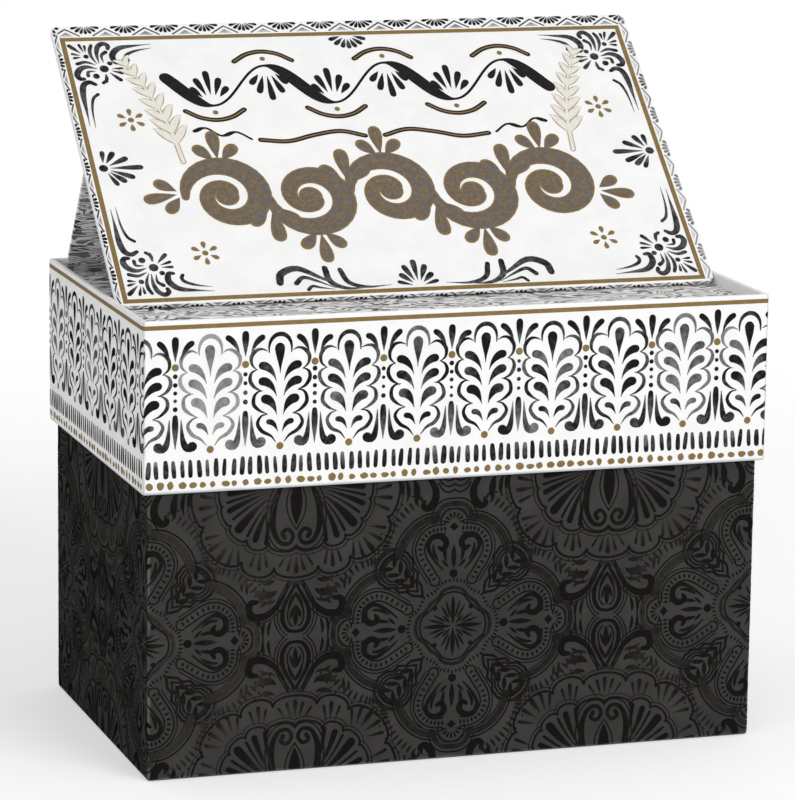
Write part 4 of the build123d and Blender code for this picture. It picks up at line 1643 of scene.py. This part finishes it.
class CARDBOX_OT_base_damask(bpy.types.Operator):
    """Prints the damask round the base, with its joint at the back left corner"""

    bl_idname = "cardbox.base_damask"
    bl_label = "Base damask"

    def execute(self, context):
        damask = settings("damask")
        width, height = damask.width, damask.height
        quarter = damask_quarter(damask.outline / MM, width / 2 / MM, height / 2 / MM)
        tile = quarter.mesh("damask quarter")
        left, foot = ((0, 0, 0), (-1, 0, 0)), ((0, 0, 0), (0, -1, 0))
        right, head = ((width / 2, 0, 0), (1, 0, 0)), ((0, height / 2, 0), (0, 1, 0))
        cut(tile, keep=[left, foot, right, head])
        quarters = []
        for x, y in ((1, 1), (1, -1), (-1, 1), (-1, -1)):
            quarters.append(tile.copy())
            quarters[-1].transform(Matrix.Diagonal((x, y, 1, 1)))
            if x * y < 0:
                quarters[-1].flip_normals()
        group, name = bpy.data.collections.new("damask repeats"), "damask repeat"
        group.objects.link(bpy.data.objects.new(name, joined(name, quarters)))
        whole, top = sheet_length(BASE_SIZE) * MM, BASE_SIZE[2] * MM
        start = -wall_length(BASE_SIZE[1]) * MM
        columns, rows = math.ceil(whole / width) + 2, math.ceil(top / height) + 2
        first = damask.first + math.floor((start - damask.first) / width) * width
        middle = damask.centre - BASE_LOW[2] * MM + (rows - 3) / 2 * height
        mesh = grown(
            "base_damask", sheet_tree(), Motifs=group, Columns=columns, Rows=rows,
            Width=(columns - 1) * width, Height=(rows - 1) * height,
            Centre=(first + (columns - 1) / 2 * width, middle, 0), Seed=5, Material=ink("damask"),
        )
        left, right = ((start, 0, 0), (-1, 0, 0)), ((start + whole, 0, 0), (1, 0, 0))
        foot = ((0, damask.margin, 0), (0, -1, 0))
        head = ((0, top - damask.margin, 0), (0, 1, 0))
        cut(mesh, keep=[left, right, foot, head])
        lay_round(
            "base_damask", mesh, BASE_SIZE, BASE_LOW[2], start / MM, "base",
            ink("damask"),
        )
        return {"FINISHED"}


def panel_rule():
    """Left, right, foot and head of the gold rule's middle line on the panel, in mm."""
    sizes = settings("panel_print")
    half = PANEL_WIDTH / 2
    return (
        sizes.left_margin / MM - half, half - sizes.right_margin / MM,
        sizes.foot_margin / MM, PANEL_LENGTH - sizes.head_margin / MM,
    )


class CARDBOX_OT_panel_edging(bpy.types.Operator):
    """Prints the gold rule on the panel and the edging outside it"""

    bl_idname = "cardbox.panel_edging"
    bl_label = "Panel rule and edging"

    def execute(self, context):
        sizes = settings("panel_print")
        left, right, low, high = panel_rule()
        half = sizes.rule_width / MM / 2
        outside, inside = (
            [(left - d, low - d), (right + d, low - d), (right + d, high + d), (left - d, high + d)]
            for d in (half, -half)
        )
        rule = Drawing()
        for i in range(4):
            j = (i + 1) % 4
            rule.shape(outside[i], outside[j], inside[j], inside[i])
        lay_on_panel("panel_rule", rule.mesh("panel_rule"), "gold")
        middle, across, edge = (low + high) / 2, (left + right) / 2, PANEL_WIDTH / 2
        thick = FOOT_FACE.length
        margins = {0: PANEL_LENGTH - high, 90: left + edge, 180: low, 270: edge - right}
        pitch, tall = sizes.pitch / MM, sizes.side_pitch / MM
        wide, deep = (right - left) / 2, (high - low) / 2
        rows = (  # turn, the rule's middle, half its length, pitch, phase, how thin the ink ran
            (0, (across, high), wide, pitch, 0.43, 0.0),
            (90, (left, middle), deep, tall, 0.02, 0.0),
            (270, (right, middle), deep, tall, -0.02, 0.5),
            (180, (across, low + thick), edge, pitch, 0.48, 0.0),  # on the panel's foot
        )
        trims = self.outline(edge, thick)
        tree, made = row_tree(), {}
        for degrees, (x, y), reach, pitch, phase, thin in rows:
            on_foot = degrees == 180
            margin = margins[0 if on_foot else degrees]
            number = math.ceil(reach / pitch) * 2 + 3
            start = (phase - (number - 1) / 2) * pitch
            turn = Matrix.Rotation(math.radians(degrees), 4, "Z")
            for kind, unit in zip(("strokes", "triangles"), edging_unit(pitch, margin, thin)):
                group = motif(unit, f"{kind} {degrees}", f"edging {kind} {degrees}")
                row = printed_row(
                    "edging", tree, start, pitch, 0, Motifs=group, Count=number, Seed=2,
                    Material=ink("brush"),
                )
                # Mitres towards the corners of the paper
                for side in (() if on_foot else (-1, 1)):
                    lean = margins[(degrees - side * 90) % 360] / margin
                    cut(row, keep=[((side * reach * MM, 0, 0), (side, -lean, 0))])
                row.transform(Matrix.Translation((x * MM, y * MM, 0)) @ turn)
                cut(row, keep=trims[on_foot])
                made.setdefault((kind, on_foot), []).append(row)
        for (kind, on_foot), parts in made.items():
            name = ("panel_foot_" if on_foot else "panel_edging_") + kind
            paint = "brush" if kind == "strokes" else "pale brush"
            face = FOOT_FACE if on_foot else PANEL_FACE
            lay_on_panel(name, joined(name, parts), paint, face=face)
        return {"FINISHED"}

    def outline(self, edge, thick):
        """The outline of the paper, without its softened edges, on the panel's face and on its
        foot, as points and outward directions. The face's rounded corners are slanting cuts."""
        soft = EDGE_SOFTNESS
        slant = (2 - math.sqrt(2)) * PANEL_CORNER / 2 + soft
        face, foot = [((0, (PANEL_LENGTH - soft) * MM, 0), (0, 1, 0))], []
        for x in (-1, 1):
            face.append(((x * (edge - soft) * MM, 0, 0), (x, 0, 0)))
            face.append(((x * (edge - slant) * MM, (PANEL_LENGTH - slant) * MM, 0), (x, 1, 0)))
            foot.append(((x * (edge - PANEL_CORNER) * MM, 0, 0), (x, 0, 0)))
            foot.append(((0, (thick / 2 + x * (thick / 2 - soft / 2)) * MM, 0), (0, x, 0)))
        return face, foot


class CARDBOX_OT_panel_ornament(bpy.types.Operator):
    """Prints the corner sprays, the fans and the middle ornament of the panel"""

    bl_idname = "cardbox.panel_ornament"
    bl_label = "Panel ornament"

    def execute(self, context):
        left, right, low, high = panel_rule()
        middle, across = (low + high) / 2, (left + right) / 2
        sprays = Drawing()
        sprays.turned(corner_spray(), 0, left, low)
        sprays.reflect(y=middle)
        x, y = left + 2.9, middle - 0.4  # heart of the fan halfway up the side
        sprays.dot(x, y, 1.3, 0.35)
        fan = (
            (0, 2.1, 11.2), (26, 2.1, 8.2), (-24, 2.1, 9.0), (57, 2.1, 6.9), (-43, 2.1, 7.6),
        )
        petals(sprays, x, y, fan, 1.7)
        petals(sprays, x, y, ((84, 2.1, 6.2), (-64, 2.1, 7.0)), 1.4)
        sprays.reflect(x=across)
        fan = (
            (-90, 2.0, 5.4), (-68, 2.0, 5.4), (-112, 2.0, 5.4), (-44, 2.0, 5.6), (-136, 2.0, 5.6),
            (-20, 2.2, 5.8), (-160, 2.2, 5.8),
        )
        petals(sprays, across, high - 0.4, fan)
        sprays.turned(foot_scrolls(), 0, across, low + 0.4)
        lay_on_panel("panel_sprays", sprays.mesh("panel_sprays"), "brush")
        gold, bronze, veins = scrollwork()
        black, inlay = pen_strokes()
        axis = -12.5  # of the scroll, from the panel's middle
        for name, drawing, paint, layer, y in (
            ("panel_scroll_outline", gold, "gold", 0, axis),
            ("panel_scroll_fill", bronze, "bronze", 1, axis),
            ("panel_scroll_veins", veins, "gold", 2, axis),
            ("panel_rosettes", rosettes(), "gold", 0, 0),
            ("panel_pen_strokes", black, "black", 0, 0),
            ("panel_pen_inlay", inlay, "gold", 1, 0),
        ):
            placed = Drawing()
            placed.turned(drawing, 0, across, middle + y)
            lay_on_panel(name, placed.mesh(name), paint, layer)
        for name, part, paint, layer in zip(
            ("panel_sprig_outline", "panel_sprig_fill"), sprig(), ("cream edge", "cream"), (0, 1)
        ):
            placed = Drawing()
            placed.turned(part, 13, across - 58, middle + 1, 0.78)
            placed.reflect(x=across)
            lay_on_panel(name, placed.mesh(name), paint, layer)
        return {"FINISHED"}


class CARDBOX_OT_stage(bpy.types.Operator):
    """Sets the camera, the soft lamps, the white room and the floor"""

    bl_idname = "cardbox.stage"
    bl_label = "Stage"

    FLOOR = 3000  # radius of the table in mm
    FADE = (0.25, 0.6)  # where it begins to fade into the white, and is white, in m

    def execute(self, context):
        stage = settings("stage")
        scene = context.scene
        a, e, r = stage.azimuth, stage.elevation, stage.roll
        right = Vector((math.cos(a), math.sin(a), 0))
        back = Vector((math.sin(a) * math.cos(e), -math.cos(a) * math.cos(e), math.sin(e)))
        up = back.cross(right)
        across = right * math.cos(r) + up * math.sin(r)
        upward = up * math.cos(r) - right * math.sin(r)
        camera = bpy.data.objects.new("camera", bpy.data.cameras.new("camera"))
        scene.collection.objects.link(camera)
        aim = Vector((stage.aim_side, 0, stage.aim_height))
        turn = Matrix((across, upward, back)).transposed()
        camera.matrix_world = Matrix.Translation(aim + back * stage.distance) @ turn.to_4x4()
        camera.data.sensor_width = 36.0
        camera.data.lens = stage.lens
        camera.data.clip_start, camera.data.clip_end = 0.05, 20
        scene.camera = camera
        target = Vector((0, 0, 0.08))  # about the middle of the box's front
        for name, power, size, place in (
            ("key lamp", stage.key, 1.2, (0.8, -1.75, 1.0)),
            ("fill lamp", stage.fill, 0.9, (-1.2, -1.2, 0.25)),
        ):
            lamp = bpy.data.lights.new(name, "AREA")
            lamp.energy, lamp.size = power, size
            holder = bpy.data.objects.new(name, lamp)
            scene.collection.objects.link(holder)
            holder.location = place
            holder.rotation_mode = "QUATERNION"
            way = Vector(place) - target
            holder.rotation_quaternion = way.to_track_quat("Z", "Y")
        self.room(scene, stage)
        self.floor(scene)
        scene.view_settings.view_transform = "Standard"
        return {"FINISHED"}

    def shown(self, tree):
        """1 for what the camera, a mirror or glass sees directly, else 0."""
        path = add_node(tree, "ShaderNodeLightPath").outputs
        either = sums(tree, "MAXIMUM", path["Is Camera Ray"], path["Is Glossy Ray"])
        return sums(tree, "MAXIMUM", either, path["Is Transmission Ray"])

    def room(self, scene, stage):
        world = bpy.data.worlds.new("white room")
        scene.world = world
        world.use_nodes = True
        tree = world.node_tree
        tree.nodes.clear()
        strength = spread(tree, self.shown(tree), 0.0, 1.0, stage.ambient, 1.0)
        light = add_node(tree, "ShaderNodeBackground", {"Strength": strength, "Color": WHITE})
        add_node(tree, "ShaderNodeOutputWorld", {"Surface": light.outputs[0]})

    def floor(self, scene):
        """A round white table that fades into the white of the room."""
        drawing = Drawing()
        drawing.dot(0, 0, self.FLOOR, sides=64)
        mesh = drawing.mesh("floor")
        floor = bpy.data.objects.new("floor", mesh)
        scene.collection.objects.link(floor)
        material, tree, surface, place = new_finish("matt white table")
        grey = linear(channels("#D9D9D9"))
        dress(tree, surface, Base_Color=grey, Roughness=0.9, Specular_IOR_Level=0.1)
        lit = sums(tree, "MULTIPLY", self.shown(tree), 0.42)
        glow = add_node(tree, "ShaderNodeEmission", {"Strength": lit, "Color": WHITE})
        both = add_node(tree, "ShaderNodeAddShader", {0: surface.outputs[0], 1: glow.outputs[0]})
        white = add_node(tree, "ShaderNodeEmission", {"Color": WHITE, "Strength": 1.0})
        distance = add_node(
            tree, "ShaderNodeVectorMath", {0: place}, operation="LENGTH"
        ).outputs["Value"]
        share = spread(tree, distance, *self.FADE)
        far = sums(tree, "MULTIPLY", share, self.shown(tree))
        blend = add_node(
            tree, "ShaderNodeMixShader", {0: far, 1: both.outputs[0], 2: white.outputs[0]}
        )
        output = next(n for n in tree.nodes if n.bl_idname == "ShaderNodeOutputMaterial")
        tree.links.new(blend.outputs[0], output.inputs["Surface"])
        mesh.materials.append(material)


OPERATORS = (
    CARDBOX_OT_stage,
    CARDBOX_OT_papers,
    CARDBOX_OT_lid_frieze,
    CARDBOX_OT_lid_dashes,
    CARDBOX_OT_lid_gold,
    CARDBOX_OT_base_damask,
    CARDBOX_OT_panel_edging,
    CARDBOX_OT_panel_ornament,
)


class CARDBOX_PT_sidebar(bpy.types.Panel):
    """Lists the steps that dress the box, and their sizes and colours"""

    bl_idname = "CARDBOX_PT_sidebar"
    bl_label = "Recipe card box"
    bl_space_type = "VIEW_3D"
    bl_region_type = "UI"
    bl_category = "Card box"

    def draw(self, context):
        for operator in OPERATORS:
            self.layout.operator(operator.bl_idname)
        for name, group in GROUPS.items():
            box = self.layout.box()
            box.label(text=name.replace("_", " ").capitalize())
            for key in group.__annotations__:
                box.prop(settings(name), key)


def register():
    for kind in (*GROUPS.values(), *OPERATORS, CARDBOX_PT_sidebar):
        bpy.utils.register_class(kind)
    for name, group in GROUPS.items():
        setattr(bpy.types.Scene, PREFIX + name, bpy.props.PointerProperty(type=group))


def unregister():
    for name in GROUPS:
        delattr(bpy.types.Scene, PREFIX + name)
    for kind in (CARDBOX_PT_sidebar, *OPERATORS[::-1], *list(GROUPS.values())[::-1]):
        bpy.utils.unregister_class(kind)


def main():
    register()
    for operator in OPERATORS:
        group, name = operator.bl_idname.split(".")
        getattr(getattr(bpy.ops, group), name)()
    bpy.context.view_layer.update()


if __name__ == "__main__":
    main()
